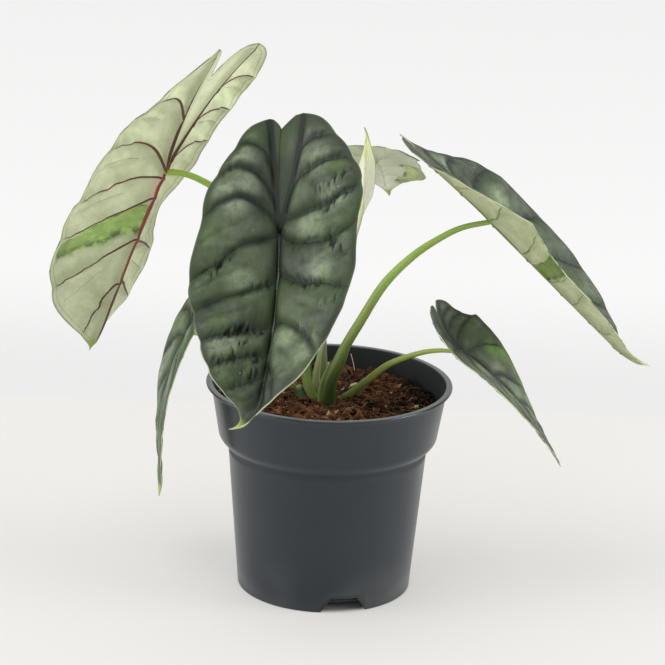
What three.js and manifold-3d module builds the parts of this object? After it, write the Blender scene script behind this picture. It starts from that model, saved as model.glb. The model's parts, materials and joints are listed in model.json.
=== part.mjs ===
// A potted dragon scale alocasia: a plastic growers' pot, its potting mix, the plant's crown and
// seven leaves, each a stalk and a peltate blade.
// Millimetres, +Z up. The floor is z = 0 and the origin is the middle of the whole plant's box.
// Places in the plant are given from the pot's axis, with the viewer on the -Y side.
import * as THREE from 'three';
import { mergeVertices } from 'three/addons/utils/BufferGeometryUtils.js';
import Module from 'manifold-3d';

const wasm = await Module();
wasm.setup();

// Driving dimensions of the whole.
const POT_AXIS = [-8.2, 2.1];
const CLEARANCE = 0.3;
const MERGE_DISTANCE = 1e-4;
const SEED = 4711;

// The pot: a 12 cm growers' pot with a flared collar and a thin lip turned outwards.
const POT_HEIGHT = 104;
const WALL = 1.5;
const FOOT_RADIUS = 42.4;
const BODY_TOP = { radius: 48.6, z: 71.5 };
const COLLAR_FOOT = { radius: 53.1, z: 76.5 };
const COLLAR_TOP = { radius: 57, z: 99.5 };
const LEDGE = [[53.4, 77.7], [52.1, 75.7]];
const LIP = { radius: 60, inner: 56.8, round: 0.8 };
const UNDER_LIP = [[58.2, 102.2], [57.3, 101]];
const FLOOR_PLATE = { bottom: 2.8, top: 4.3 };
const POT_SIDES = 48;
const NOTCH = { count: 3, first: 14, foot: 22.5, top: 13, height: 7.2, below: 1, from: 36.5, to: 50 };
const DRAIN = { count: 6, radius: 3.6, ring: 31, depth: 10, sides: 10 };

// The potting mix.
const MIX_TOP = 93;
const MIX_RIM_LOWEST = 88;
const MIX_SLOPE = { x: -0.02, y: 0.035 };
const MIX_ROUGHNESS = 1.3;
const MIX_RINGS = 8;
const MIX_SIDES = 32;
const CHIPS = {
  count: 40, length: [6, 12], width: [3, 6], height: [2.4, 4], tilt: 0.35, lift: 0.4, wall: 2, clear: 22,
};

// Every blade. Stations run along the midrib: negative ones are a share of the hind lobes' length,
// positive ones of the front part's length, and a blade's half widths are given at them.
const STATIONS = [-0.88, -0.6, -0.3, 0.04, 0.27, 0.5, 0.7, 0.84, 0.93];
const USUAL_WIDTHS = [0.6, 0.84, 0.96, 1, 0.955, 0.83, 0.6, 0.34, 0.13];
const TIP_STATION = { at: 0.972, width: 0.045 };
const LOBE_SHOULDER = { across: 0.4, drop: 0.32 };
const TIP_FROM = 0.8;
const RAIL_STEPS = 60;
const MARGIN_STEPS = 8;
const BLADE_THICKNESS = 0.9;
const MARGIN_THICKNESS = 0.7;
const RIB_DEPTH = 0.7;
const FULL_RELIEF = 0.75;
const PILLOW_LEAN = 0.8;
const LEAST_CURL = 0.01;
const STALK_REACH = 1.5;
const STALK_SIDES = 8;
const STALK_STEPS = 13;

// Side veins: where each leaves the midrib or a hind rib, and where it meets the margin. The first
// entry is the hind lobe's tip and the last the blade's tip.
const USUAL_VEINS = {
  bases: [-1, -0.62, -0.33, -0.15, 0, 0.26, 0.5, 0.67, 0.82, 1],
  ends: [-1, -0.72, -0.47, -0.16, 0.26, 0.55, 0.75, 0.86, 0.93, 1],
  arch: 0.25,
};
const TALL_VEINS = {
  bases: [-1, -0.62, -0.3, 0, 0.06, 0.17, 0.4, 0.64, 0.82, 1],
  ends: [-1, -0.6, -0.16, 0.1, 0.25, 0.42, 0.62, 0.8, 0.92, 1],
  arch: 0.12,
};

// The leaves. Angles are in degrees: heading and dip point the blade's front part, roll turns it
// about its midrib, and the pairs hold the blade's first and second half. The bow shapes the hind
// ribs, and what starts with tip is added over the last part of the blade.
const PLAIN_TIP = { tipRoll: 0, foldTip: [0, 0], bow: [1.5, 1.5] };
const LARGE = { ...PLAIN_TIP, rows: 3, columns: 5, pillow: 1.6, wave: 0.9 };
const SMALL = { ...PLAIN_TIP, rows: 2, columns: 4, pillow: 0.8, wave: 0.4 };
const LEAVES = {
  front: {
    ...LARGE, veins: USUAL_VEINS, junction: [-25.3, -50.5, 192.3], heading: -86, dip: 56, roll: -10,
    twist: 2.3, droop: -4.8, back: 12.3, sway: -27.3, bank: 7, tipSway: -89, tipLift: -36.7,
    tipRoll: 24, foldTip: [-14, -56], bow: [1.7, 0.8],
    length: 103, lobes: 58, sinus: 0.9, half: [41, 43], lobe: [0.32, 0.16],
    fold: [27.3, 26], foldFore: [5.4, 4.6], foldBack: [1.5, 0.4], curl: [-12.8, -11],
    widths: [[25, 37.5, 44.5, 41, 42, 36, 24.6, 3.2, 3.5], [16, 25.5, 34.5, 39, 42, 36, 27, 13.3, 7.4]],
    stalk: {
      route: [[-6.3, 3.6, 82], [-6.1, 3.5, 91.4], [-8.5, 2.8, 95.8], [-10.7, 1.6, 102], [-12.3, 1, 111],
        [-18, -4, 138], [-20.5, -14, 158], [-22.5, -27, 176], [-24.3, -40, 187.5]],
      radii: [2.3, 2.3, 2.35, 2.35, 2.3, 2, 1.8, 1.6, 1.45, 1.4],
    },
  },
  tall: {
    ...LARGE, veins: TALL_VEINS, junction: [-82.7, 21.8, 201], heading: 134.8, dip: 61.7, roll: 2,
    twist: 4.8, droop: -1.9, back: 11.6, sway: -11.2, bank: 4.7, tipSway: 20, tipLift: -1.5,
    length: 123, lobes: 84.5, sinus: 0.74, half: [46, 46], lobe: [0.14, 0.38], bow: [2.2, 0.8],
    fold: [14.3, 20.7], foldFore: [-2.2, 6.4], foldBack: [-15, -11.4], curl: [-0.7, -29.2],
    widths: [[11.5, 23.5, 36, 40.5, 43.5, 42, 32.5, 19, 7], [27, 32, 29.5, 30, 14.5, 23, 22.5, 15.5, 7]],
    stalk: {
      route: [[-8.6, 15.4, 82], [-9.5, 15.5, 95], [-16, 17, 125], [-27, 19, 155], [-42, 20.5, 180],
        [-56, 21, 192], [-66, 21.3, 197.8], [-74, 21.6, 200.4]],
      radii: [2.8, 2.8, 2.4, 2.1, 1.9, 1.7, 1.6, 1.5, 1.5],
    },
  },
  right: {
    ...LARGE, veins: USUAL_VEINS, junction: [74.6, -15.2, 191.5], heading: 10.4, dip: 44.8, roll: 0.4,
    twist: -6, droop: -0.2, back: 4.2, sway: -4.4, bank: 15.5, tipSway: 17.8, tipLift: -26,
    length: 111.5, lobes: 60, sinus: 0.86, half: [40, 40], lobe: [0.36, 0.09],
    fold: [10.4, 9.5], foldFore: [-8.5, 2.1], foldBack: [-23.2, -15.9], curl: [28.8, 16.6],
    widths: [[16.5, 28.5, 39, 40.5, 40, 38, 28, 15, 5.5], [22.5, 35, 42, 41, 32.5, 32.5, 25, 14.5, 5.5]],
    stalk: {
      route: [[-0.4, -1.2, 82], [-0.4, -1.6, 94.2], [0.6, -3, 105.2], [4.7, -4.6, 116.8],
        [7.8, -4.9, 125], [13.4, -5, 135.5], [24.7, -7, 156.2], [37.5, -9, 171], [50, -11, 181],
        [61, -13, 187.5]],
      radii: [4, 3.8, 3.4, 3.05, 2.45, 2.35, 2.2, 1.9, 1.6, 1.4, 1.25],
    },
  },
  low: {
    ...SMALL, veins: USUAL_VEINS, junction: [63.1, -15.6, 126.1], heading: 4.6, dip: 36.7, roll: -7.8,
    twist: -16.4, droop: 24.3, back: -42.9, sway: 24.9, bank: 36.7, tipSway: 7.6, tipLift: 0.9,
    length: 83.5, lobes: 28.6, sinus: 0.83, half: [25, 25], lobe: [0.22, 0.33],
    fold: [10.2, 3.3], foldFore: [-25.3, -3], foldBack: [-22.8, 7.5], curl: [24.4, 12.4],
    widths: [[16.3, 23, 26.5, 28.1, 26.9, 21.6, 14.8, 8, 2.9],
      [19.8, 27.1, 29.9, 29.4, 26.3, 21.5, 14.8, 8, 2.9]],
    stalk: {
      route: [[5.5, 5.4, 82], [6.5, 5, 92.5], [11.3, 5, 97], [19.7, 4, 104.8], [29.2, 1, 113.6],
        [42.3, -5, 121.2], [52.3, -9.6, 124.6]],
      radii: [2, 1.95, 1.9, 1.8, 1.6, 1.3, 1.05, 0.85],
    },
  },
  hanging: {
    ...SMALL, veins: USUAL_VEINS, junction: [-69.6, 2.5, 126.1], heading: 190.9, dip: 64.7, roll: -1.9,
    twist: 2.3, droop: 36.4, back: 3, sway: -4.7, bank: -0.3, tipSway: 19.9, tipLift: -15.2,
    length: 86.6, lobes: 34.4, sinus: 0.86, half: [22, 22], lobe: [0.27, 0.27],
    fold: [6, 10.4], foldFore: [-9.4, -14.2], foldBack: [1.4, -2.9], curl: [-0.6, -4],
    widths: [[13.6, 18.8, 21.3, 22.1, 20.9, 17.9, 12.9, 7.3, 2.8],
      [12.3, 17.9, 21.2, 23.1, 22.7, 18.9, 13.2, 7.3, 2.7]],
    stalk: {
      route: [[-15.8, 15.5, 82], [-16.3, 15.3, 90], [-20, 14.5, 98], [-29, 13, 108], [-40, 10.5, 117],
        [-52, 7, 122.5], [-61, 4.4, 124.3]],
      radii: [2.2, 2.2, 2, 1.8, 1.5, 1.3, 1.1, 1],
    },
  },
  rear: {
    ...SMALL, veins: USUAL_VEINS, junction: [19.9, 41.7, 205], heading: 82, dip: 26.2, roll: -0.4,
    twist: -2, droop: 0, back: 2.4, sway: 5.5, bank: 4.4, tipSway: -25, tipLift: 31,
    length: 72, lobes: 34.5, sinus: 0.86, half: [22, 22], lobe: [0.23, 0.4],
    fold: [7.1, 7.1], foldFore: [1, 1], foldBack: [-3.6, -2.8], curl: [-18.5, -21.8],
    widths: [[13, 18.3, 21.1, 22, 21, 18.3, 13.2, 7.5, 2.9],
      [12.4, 23.7, 21.2, 21.2, 21.5, 21.2, 12.7, 6.8, 2.1]],
    stalk: {
      route: [[-2.2, 13.8, 82], [-2.4, 14, 94], [-4, 17.5, 120], [-3.5, 22, 142], [1, 27, 163],
        [8, 33, 182], [15, 38.5, 197]],
      radii: [2.4, 2.4, 2, 1.8, 1.6, 1.4, 1.2, 1.1],
    },
  },
  young: {
    ...SMALL, rows: 1, columns: 3, pillow: 0.2, wave: 0.2, veins: USUAL_VEINS,
    junction: [13.3, 15.5, 189.2], heading: -82.4, dip: -73.2, roll: 3.6, twist: 20.6, droop: 0.4,
    back: 0.3, sway: -10.5, bank: 1.1, tipSway: -31.4, tipLift: 15.6, length: 44.5, lobes: 8.7,
    sinus: 0.86, half: [9, 9], lobe: [0.27, 0.27], fold: [61.6, 61.9], foldFore: [-4, 2.7],
    foldBack: [-0.9, 0], curl: [0, 0],
    widths: [[5.4, 7.6, 8.6, 9, 8.8, 7.6, 5, 1.5, 0.7], [5.4, 7.6, 8.6, 9, 8.8, 7.6, 5, 1.5, 0.7]],
    stalk: {
      route: [[-6, 10.5, 82], [-6, 10.4, 90.2], [-6.3, 10, 97.5], [-6.4, 9.5, 104.3], [-4.4, 8.8, 118],
        [1.3, 9.5, 139.3], [6.6, 11, 160], [11.6, 12.2, 179.5], [12.7, 12.6, 185.5]],
      radii: [2.1, 2, 1.95, 1.9, 1.05, 1, 1, 1, 1, 1],
    },
  },
};

// The crown: a buried corm, a cut stub and the sheath that clasps the right leaf's stalk.
const CORM = [[0, 50], [6, 52], [10.5, 58], [13, 68], [14, 77], [13.2, 82], [10, 85.5], [0, 86.5]];
const CORM_AXIS = [-6.5, 8];
const CORM_MIDDLE = 70;
const CORM_SIDES = 20;
const STUB = {
  route: [[-13.2, 4.4, 80], [-13.6, 4, 91.5], [-14.9, 4, 95.6], [-15.8, 4, 98.9]],
  radii: [4.2, 4.1, 3.2, 2.5],
  sides: 9,
  steps: 5,
};
const SHEATH = {
  route: [[-4.6, -1.6, 80], [-4.6, -2, 92], [-4.2, -2.6, 102], [-2.4, -3, 108.4], [0, -3.4, 114.5]],
  radii: [1.8, 1.7, 1.5, 1.1, 0.6],
  sides: 7,
  steps: 6,
};

const FINISH = {
  pot: { color: 0x3a3e42, roughness: 0.45, metalness: 0 },
  soil: { color: 0x5a3524, roughness: 0.95, metalness: 0 },
  crown: { color: 0x6f8a4a, roughness: 0.55, metalness: 0 },
  stalk: { color: 0x7f9a55, roughness: 0.5, metalness: 0 },
  blade: { color: 0x4c5f52, roughness: 0.5, metalness: 0 },
  young: { color: 0xd2d6a4, roughness: 0.5, metalness: 0 },
};

const radians = THREE.MathUtils.degToRad;
const { clamp, lerp } = THREE.MathUtils;

// Repeatable random numbers from 0 to 1.
function makeRandom(seed) {
  let state = seed;
  return () => {
    state = (state * 1664525 + 1013904223) % 4294967296;
    return state / 4294967296;
  };
}

// Closed meshes and solids.

function makeGeometry(points, triangles) {
  const geometry = new THREE.BufferGeometry();
  geometry.setAttribute('position', new THREE.Float32BufferAttribute(points, 3));
  geometry.setIndex(triangles);
  return geometry;
}

function toSolid(geometry) {
  const bare = geometry.clone();
  bare.deleteAttribute('normal');
  bare.deleteAttribute('uv');
  const merged = mergeVertices(bare, MERGE_DISTANCE);
  return new wasm.Manifold(new wasm.Mesh({
    numProp: 3,
    vertProperties: new Float32Array(merged.attributes.position.array),
    triVerts: new Uint32Array(merged.index.array),
  }));
}

function toGeometry(solid) {
  const mesh = solid.getMesh();
  return makeGeometry(Array.from(mesh.vertProperties), Array.from(mesh.triVerts));
}

// The largest of the bodies that a cut leaves.
function mainBody(solid) {
  return solid.decompose().reduce((best, body) => (body.volume() > best.volume() ? body : best));
}

function makePiece(name, geometry, finish) {
  geometry.computeVertexNormals();
  const piece = new THREE.Mesh(geometry, new THREE.MeshStandardMaterial(finish));
  piece.name = name;
  return piece;
}

// A round tube with flat ends along a smooth curve, its radius following the list of radii.
function sweep(route, radii, sides, steps, grow = 0) {
  const curve = new THREE.CatmullRomCurve3(route.map((point) => new THREE.Vector3(...point)));
  const frames = curve.computeFrenetFrames(steps, false);
  const points = [];
  const triangles = [];
  for (let i = 0; i <= steps; i += 1) {
    const centre = curve.getPointAt(i / steps);
    if (i === 0) centre.addScaledVector(frames.tangents[i], -grow);
    if (i === steps) centre.addScaledVector(frames.tangents[i], grow);
    const stop = curve.getUtoTmapping(i / steps) * (radii.length - 1);
    const before = Math.min(Math.floor(stop), radii.length - 2);
    const radius = lerp(radii[before], radii[before + 1], stop - before) + grow;
    for (let j = 0; j < sides; j += 1) {
      const angle = (j / sides) * 2 * Math.PI;
      const point = centre.clone()
        .addScaledVector(frames.normals[i], radius * Math.cos(angle))
        .addScaledVector(frames.binormals[i], radius * Math.sin(angle));
      points.push(point.x, point.y, point.z);
    }
  }
  for (let i = 0; i < steps; i += 1) {
    for (let j = 0; j < sides; j += 1) {
      const a = i * sides + j;
      const b = i * sides + ((j + 1) % sides);
      triangles.push(a, b, b + sides, a, b + sides, a + sides);
    }
  }
  const last = steps * sides;
  for (let j = 1; j < sides - 1; j += 1) {
    triangles.push(0, j + 1, j, last, last + j, last + j + 1);
  }
  return makeGeometry(points, triangles);
}

// The pot.

function turn(profile, sides) {
  const lathe = new THREE.LatheGeometry(profile.map(([r, z]) => new THREE.Vector2(r, z)), sides);
  return lathe.rotateX(Math.PI / 2);
}

function outerRadius(z) {
  return FOOT_RADIUS + ((BODY_TOP.radius - FOOT_RADIUS) * z) / BODY_TOP.z;
}

// The inside of the pot's wall from the floor plate up, drawn in by a margin.
function innerWall(floor, margin) {
  const inset = WALL + margin;
  return [
    [outerRadius(floor) - inset, floor],
    [BODY_TOP.radius - inset, BODY_TOP.z],
    [COLLAR_FOOT.radius - inset, COLLAR_FOOT.z],
    [COLLAR_TOP.radius - inset, COLLAR_TOP.z],
  ];
}

// The lip's rounded inner and outer edge, from the inside over the top to its underside.
function lipProfile() {
  const { radius, inner, round } = LIP;
  const corner = (centre, angle) => [
    centre + round * Math.cos(radians(angle)),
    POT_HEIGHT - round + round * Math.sin(radians(angle)),
  ];
  return [
    ...[180, 135, 90].map((angle) => corner(inner + round, angle)),
    ...[90, 45, 0, -45, -90].map((angle) => corner(radius - round, angle)),
  ];
}

function potProfile() {
  return [
    [0, FLOOR_PLATE.top],
    ...innerWall(FLOOR_PLATE.top, 0),
    ...lipProfile(),
    ...UNDER_LIP,
    [COLLAR_TOP.radius, COLLAR_TOP.z],
    ...LEDGE,
    [BODY_TOP.radius, BODY_TOP.z],
    [FOOT_RADIUS, 0],
    [FOOT_RADIUS - WALL, 0],
    [outerRadius(FLOOR_PLATE.bottom) - WALL, FLOOR_PLATE.bottom],
    [0, FLOOR_PLATE.bottom],
  ].reverse();
}

// A trapezoid bar that cuts one notch through the foot skirt, reaching outwards from the axis.
function notchCutter(angle) {
  const slant = (NOTCH.foot - NOTCH.top) / 2 / NOTCH.height;
  const foot = NOTCH.foot / 2 + slant * NOTCH.below;
  const end = new THREE.Shape();
  end.moveTo(-foot, -NOTCH.below);
  end.lineTo(foot, -NOTCH.below);
  end.lineTo(NOTCH.top / 2, NOTCH.height);
  end.lineTo(-NOTCH.top / 2, NOTCH.height);
  const bar = new THREE.ExtrudeGeometry(end, { depth: NOTCH.to - NOTCH.from, bevelEnabled: false });
  bar.rotateX(Math.PI / 2).rotateZ(Math.PI / 2).translate(NOTCH.from, 0, 0);
  return bar.rotateZ(angle);
}

function makePot() {
  let pot = toSolid(turn(potProfile(), POT_SIDES));
  for (let i = 0; i < NOTCH.count; i += 1) {
    const angle = radians(-90 + NOTCH.first + (i * 360) / NOTCH.count);
    pot = pot.subtract(toSolid(notchCutter(angle)));
  }
  for (let i = 0; i < DRAIN.count; i += 1) {
    const angle = radians(-90 + NOTCH.first + ((i + 0.5) * 360) / DRAIN.count);
    const hole = new THREE.CylinderGeometry(DRAIN.radius, DRAIN.radius, DRAIN.depth, DRAIN.sides);
    hole.rotateX(Math.PI / 2);
    hole.translate(DRAIN.ring * Math.cos(angle), DRAIN.ring * Math.sin(angle), FLOOR_PLATE.top);
    pot = pot.subtract(toSolid(hole));
  }
  return makePiece('pot', toGeometry(pot), FINISH.pot);
}

// The potting mix: its rough top is a ring grid, its sides follow the pot's wall.

function mixHeight(x, y) {
  return MIX_TOP + MIX_SLOPE.x * x + MIX_SLOPE.y * y;
}

function mixBody(random) {
  const wall = innerWall(FLOOR_PLATE.top + CLEARANCE, CLEARANCE);
  const rise = (MIX_RIM_LOWEST - wall[2][1]) / (wall[3][1] - wall[2][1]);
  const rim = lerp(wall[2][0], wall[3][0], rise);
  const points = [0, 0, mixHeight(0, 0)];
  const triangles = [];
  const ring = (radiusAt, heightAt) => {
    for (let j = 0; j < MIX_SIDES; j += 1) {
      const angle = (j / MIX_SIDES) * 2 * Math.PI;
      const x = radiusAt * Math.cos(angle);
      const y = radiusAt * Math.sin(angle);
      points.push(x, y, heightAt(x, y));
    }
  };
  for (let i = 1; i <= MIX_RINGS; i += 1) {
    ring((rim * i) / MIX_RINGS, (x, y) => mixHeight(x, y) + (random() - 0.5) * 2 * MIX_ROUGHNESS);
  }
  const sides = wall.slice(0, 3).reverse();
  for (const [radius, z] of sides) ring(radius, () => z);
  points.push(0, 0, wall[0][1]);
  const rings = MIX_RINGS + sides.length;
  const at = (i, j) => 1 + (i - 1) * MIX_SIDES + (j % MIX_SIDES);
  for (let j = 0; j < MIX_SIDES; j += 1) {
    triangles.push(0, at(1, j), at(1, j + 1));
    for (let i = 1; i < rings; i += 1) {
      triangles.push(at(i, j), at(i + 1, j), at(i + 1, j + 1));
      triangles.push(at(i, j), at(i + 1, j + 1), at(i, j + 1));
    }
    triangles.push(at(rings, j), points.length / 3 - 1, at(rings, j + 1));
  }
  return toSolid(makeGeometry(points, triangles));
}

// One bark chip: a tilted block with an uneven top, half sunk in the mix.
function chip(random) {
  const size = [CHIPS.length, CHIPS.width, CHIPS.height].map(([low, high]) => lerp(low, high, random()));
  const block = new THREE.BoxGeometry(...size);
  const tilt = () => (random() - 0.5) * 2 * CHIPS.tilt;
  block.rotateX(tilt()).rotateY(tilt()).rotateZ(random() * Math.PI);
  const ring = COLLAR_FOOT.radius - WALL - size[0] / 2 - CHIPS.wall;
  const reach = Math.sqrt(random()) * ring;
  const angle = random() * 2 * Math.PI;
  const x = reach * Math.cos(angle);
  const y = reach * Math.sin(angle);
  const clear = Math.hypot(x - CORM_AXIS[0], y - CORM_AXIS[1]) > CHIPS.clear;
  return clear ? block.translate(x, y, mixHeight(x, y) + CHIPS.lift) : null;
}

function makeSoil(holes) {
  const random = makeRandom(SEED);
  let soil = mixBody(random);
  for (let i = 0; i < CHIPS.count; i += 1) {
    const block = chip(random);
    if (block) soil = soil.add(toSolid(block));
  }
  for (const hole of holes) soil = soil.subtract(hole);
  return makePiece('soil', toGeometry(mainBody(soil)), FINISH.soil);
}

// Blades. A blade is drawn flat, with s along its midrib and t across it, and then bent in space.

// How far into the blade's tip a share of its length lies.
function tipShare(share) {
  return clamp((share - TIP_FROM) / (1 - TIP_FROM), 0, 1);
}

// Places and directions along the midrib, from the stalk's junction to one end of the blade.
function midribRail(leaf, fore) {
  const step = (fore ? leaf.length : -leaf.lobes) / RAIL_STEPS;
  const place = new THREE.Vector3(...leaf.junction);
  const rail = [];
  for (let i = 0; i <= RAIL_STEPS; i += 1) {
    const share = (fore ? i : -i) / RAIL_STEPS;
    const tip = tipShare(share);
    const dip = radians(leaf.dip + (fore ? leaf.droop : leaf.back) * share + leaf.tipLift * tip);
    const heading = radians(leaf.heading + (fore ? leaf.sway : leaf.bank) * share + leaf.tipSway * tip);
    const roll = radians(leaf.roll + leaf.twist * share + leaf.tipRoll * tip);
    const ahead = new THREE.Vector3(Math.cos(heading), Math.sin(heading), 0);
    const along = ahead.clone().multiplyScalar(Math.cos(dip)).setZ(-Math.sin(dip));
    const level = ahead.clone().multiplyScalar(Math.sin(dip)).setZ(Math.cos(dip));
    const up = level.clone().applyAxisAngle(along, -roll);
    const across = new THREE.Vector3().crossVectors(up, along);
    if (i > 0) {
      place.addScaledVector(along, step / 2).addScaledVector(rail[i - 1].along, step / 2);
    }
    rail.push({ place: place.clone(), along, up, across });
  }
  return rail;
}

function railFrame(leaf, s) {
  const rail = s < 0 ? leaf.hindRail : leaf.foreRail;
  const stop = (Math.abs(s) / (s < 0 ? leaf.lobes : leaf.length)) * RAIL_STEPS;
  const before = Math.min(Math.floor(stop), RAIL_STEPS - 1);
  const [a, b] = [rail[before], rail[before + 1]];
  const mix = (key) => a[key].clone().lerp(b[key], stop - before);
  return { place: mix('place'), up: mix('up'), across: mix('across') };
}

// Carries a flat point into space: each half rises from the midrib by its fold and then curls.
function bend(leaf, t, s, rise) {
  const side = t >= 0 ? 0 : 1;
  const sign = t >= 0 ? 1 : -1;
  const { place, up, across } = railFrame(leaf, s);
  const fore = clamp(s / leaf.length, 0, 1);
  const hind = clamp(-s / leaf.lobes, 0, 1);
  const fold = radians(
    leaf.fold[side] + leaf.foldFore[side] * fore + leaf.foldBack[side] * hind
    + leaf.foldTip[side] * tipShare(fore),
  );
  const bendRate = radians(leaf.curl[side] || LEAST_CURL) / leaf.half[side];
  const angle = fold + bendRate * Math.abs(t);
  const out = (Math.sin(angle) - Math.sin(fold)) / bendRate;
  const lift = (Math.cos(fold) - Math.cos(angle)) / bendRate;
  const normal = up.clone().multiplyScalar(Math.cos(angle));
  normal.addScaledVector(across, -sign * Math.sin(angle));
  return place.addScaledVector(across, sign * out).addScaledVector(up, lift).addScaledVector(normal, rise);
}

// The flat outline of one half, from the notch between the hind lobes to the blade's tip.
function marginPoints(leaf, side) {
  const { lobes, length, sinus } = leaf;
  const half = leaf.half[side];
  const lobe = leaf.lobe[side] * half;
  const widths = leaf.widths ? leaf.widths[side] : USUAL_WIDTHS.map((width) => width * half);
  const points = [
    [0, -sinus * lobes],
    [LOBE_SHOULDER.across * lobe, -(1 - LOBE_SHOULDER.drop * (1 - sinus)) * lobes],
    [lobe, -lobes],
    ...STATIONS.map((station, i) => [widths[i], station * (station < 0 ? lobes : length)]),
    [TIP_STATION.width * half, TIP_STATION.at * length],
    [0, length],
  ];
  return points.map(([t, s]) => new THREE.Vector2(t, s));
}

// The outline is a smooth curve through its points. It gives the inner edge of the hind lobe, from
// the lobe's tip back to the notch, and the outer edge, from the lobe's tip to the blade's tip.
function outline(leaf, side) {
  const curve = new THREE.SplineCurve(marginPoints(leaf, side));
  const spans = curve.points.length - 1;
  const lobeTip = 2 / spans;
  const outer = [];
  for (let i = 2 * MARGIN_STEPS; i <= spans * MARGIN_STEPS; i += 1) {
    outer.push(curve.getPoint(i / (spans * MARGIN_STEPS)));
  }
  const outerAt = (s) => {
    const next = outer.findIndex((point, i) => i > 0 && point.y >= s - 1e-6);
    const [a, b] = [outer[next - 1], outer[next]];
    return a.clone().lerp(b, clamp((s - a.y) / (b.y - a.y), 0, 1));
  };
  return { outerAt, innerAt: (share) => curve.getPoint((1 - share) * lobeTip) };
}

// The spine of one half: the hind rib from the lobe's tip to the junction, then the midrib.
function spinePoint(leaf, side, station) {
  if (station >= 0) return new THREE.Vector2(0, station * leaf.length);
  const spread = leaf.lobe[side] * leaf.half[side];
  return new THREE.Vector2(spread * (1 - (1 + station) ** leaf.bow[side]), station * leaf.lobes);
}

// A value in a list at a row that may lie between two entries.
function between(list, row) {
  const before = Math.min(Math.floor(row), list.length - 2);
  return lerp(list[before], list[before + 1], row - before);
}

// Flat points of one half, on rows that follow the side veins.
function halfRows(leaf, side) {
  const { bases, ends, arch } = leaf.veins;
  const { outerAt, innerAt } = outline(leaf, side);
  const last = bases.length - 1;
  const outerRows = [];
  const innerRows = [];
  for (let i = 0; i <= last * leaf.rows; i += 1) {
    const row = i / leaf.rows;
    const base = between(bases, row);
    const end = between(ends, row);
    const from = spinePoint(leaf, side, base);
    const to = outerAt(end * (end < 0 ? leaf.lobes : leaf.length));
    const raise = arch * leaf.half[side] * Math.sin((Math.PI * row) / last);
    const control = from.clone().lerp(to, 0.5).setY((from.y + to.y) / 2 - raise);
    const vein = new THREE.QuadraticBezierCurve(from, control, to);
    const share = Math.min(1, from.distanceTo(to) / (FULL_RELIEF * leaf.half[side]));
    const pillow = share * Math.sin(Math.PI * (row % 1));
    const outerRow = [];
    for (let j = 0; j <= leaf.columns; j += 1) {
      const across = j / leaf.columns;
      const relief = leaf.pillow * pillow * Math.sin(Math.PI * across ** PILLOW_LEAN);
      const wave = leaf.wave * share * across ** 3 * Math.sin(2 * Math.PI * row);
      outerRow.push({ at: vein.getPoint(across), rise: relief + wave, across });
    }
    outerRows.push(outerRow);
    if (base <= 0) innerRows.push(wedgeRow(leaf, from, -base, innerAt));
  }
  return { outerRows, innerRows };
}

// One row of the wedge between a hind rib and the line from the junction to the notch.
function wedgeRow(leaf, rib, share, innerAt) {
  const middle = new THREE.Vector2(0, -leaf.sinus * leaf.lobes * share);
  const row = [];
  for (let j = 0; j <= 2; j += 1) {
    const across = j / 2;
    const chord = innerAt(0).lerp(innerAt(1), across);
    const bulge = innerAt(across).sub(chord).multiplyScalar(share ** 3);
    row.push({ at: rib.clone().lerp(middle, across).add(bulge), rise: 0, across: 0.5 });
  }
  return row;
}

// Joins the rows of both halves into one sheet of shared points and upward triangles.
function bladeSheet(leaf) {
  const points = [];
  const shares = [];
  const triangles = [];
  const known = new Map();
  const index = (side, cell) => {
    const t = side === 0 ? cell.at.x : -cell.at.x;
    const key = `${Math.round(t * 1000) + 0},${Math.round(cell.at.y * 1000) + 0}`;
    if (!known.has(key)) {
      known.set(key, points.length);
      points.push(bend(leaf, t, cell.at.y, cell.rise));
      shares.push(cell.across);
    }
    return known.get(key);
  };
  const face = (a, b, c, turned) => {
    if (a !== b && b !== c && a !== c) triangles.push(turned ? [a, c, b] : [a, b, c]);
  };
  const patch = (side, rows, turned) => {
    const grid = rows.map((row) => row.map((cell) => index(side, cell)));
    for (let i = 0; i < grid.length - 1; i += 1) {
      for (let j = 0; j < grid[i].length - 1; j += 1) {
        face(grid[i][j], grid[i + 1][j], grid[i + 1][j + 1], turned);
        face(grid[i][j], grid[i + 1][j + 1], grid[i][j + 1], turned);
      }
    }
  };
  for (const side of [0, 1]) {
    const { outerRows, innerRows } = halfRows(leaf, side);
    patch(side, outerRows, side === 1);
    patch(side, innerRows, side === 0);
  }
  return { points, shares, triangles };
}

function sheetNormals(points, triangles) {
  const normals = points.map(() => new THREE.Vector3());
  for (const [a, b, c] of triangles) {
    const ab = points[b].clone().sub(points[a]);
    const face = ab.cross(points[c].clone().sub(points[a]));
    for (const corner of [a, b, c]) normals[corner].add(face);
  }
  return normals.map((normal) => normal.normalize());
}

// The blade's closed mesh: the sheet with a thickness, thicker below along the ribs, its two faces
// split into the same triangles.
function bladeGeometry(leaf, grow = 0) {
  const { points, shares, triangles } = bladeSheet(leaf);
  const normals = sheetNormals(points, triangles);
  const count = points.length;
  const flat = [];
  const push = (i, height) => {
    const point = points[i].clone().addScaledVector(normals[i], height);
    flat.push(point.x, point.y, point.z);
  };
  const halfThickness = (i) => lerp(BLADE_THICKNESS, MARGIN_THICKNESS, shares[i]) / 2 + grow;
  for (let i = 0; i < count; i += 1) push(i, halfThickness(i));
  for (let i = 0; i < count; i += 1) push(i, -halfThickness(i) - (shares[i] === 0 ? RIB_DEPTH : 0));
  const faces = [];
  const edges = new Set();
  for (const [a, b, c] of triangles) {
    faces.push(a, b, c, a + count, c + count, b + count);
    for (const [from, to] of [[a, b], [b, c], [c, a]]) edges.add(`${from},${to}`);
  }
  for (const edge of edges) {
    const [a, b] = edge.split(',').map(Number);
    if (!edges.has(`${b},${a}`)) faces.push(b, a, a + count, b, a + count, b + count);
  }
  return makeGeometry(flat, faces);
}

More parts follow.
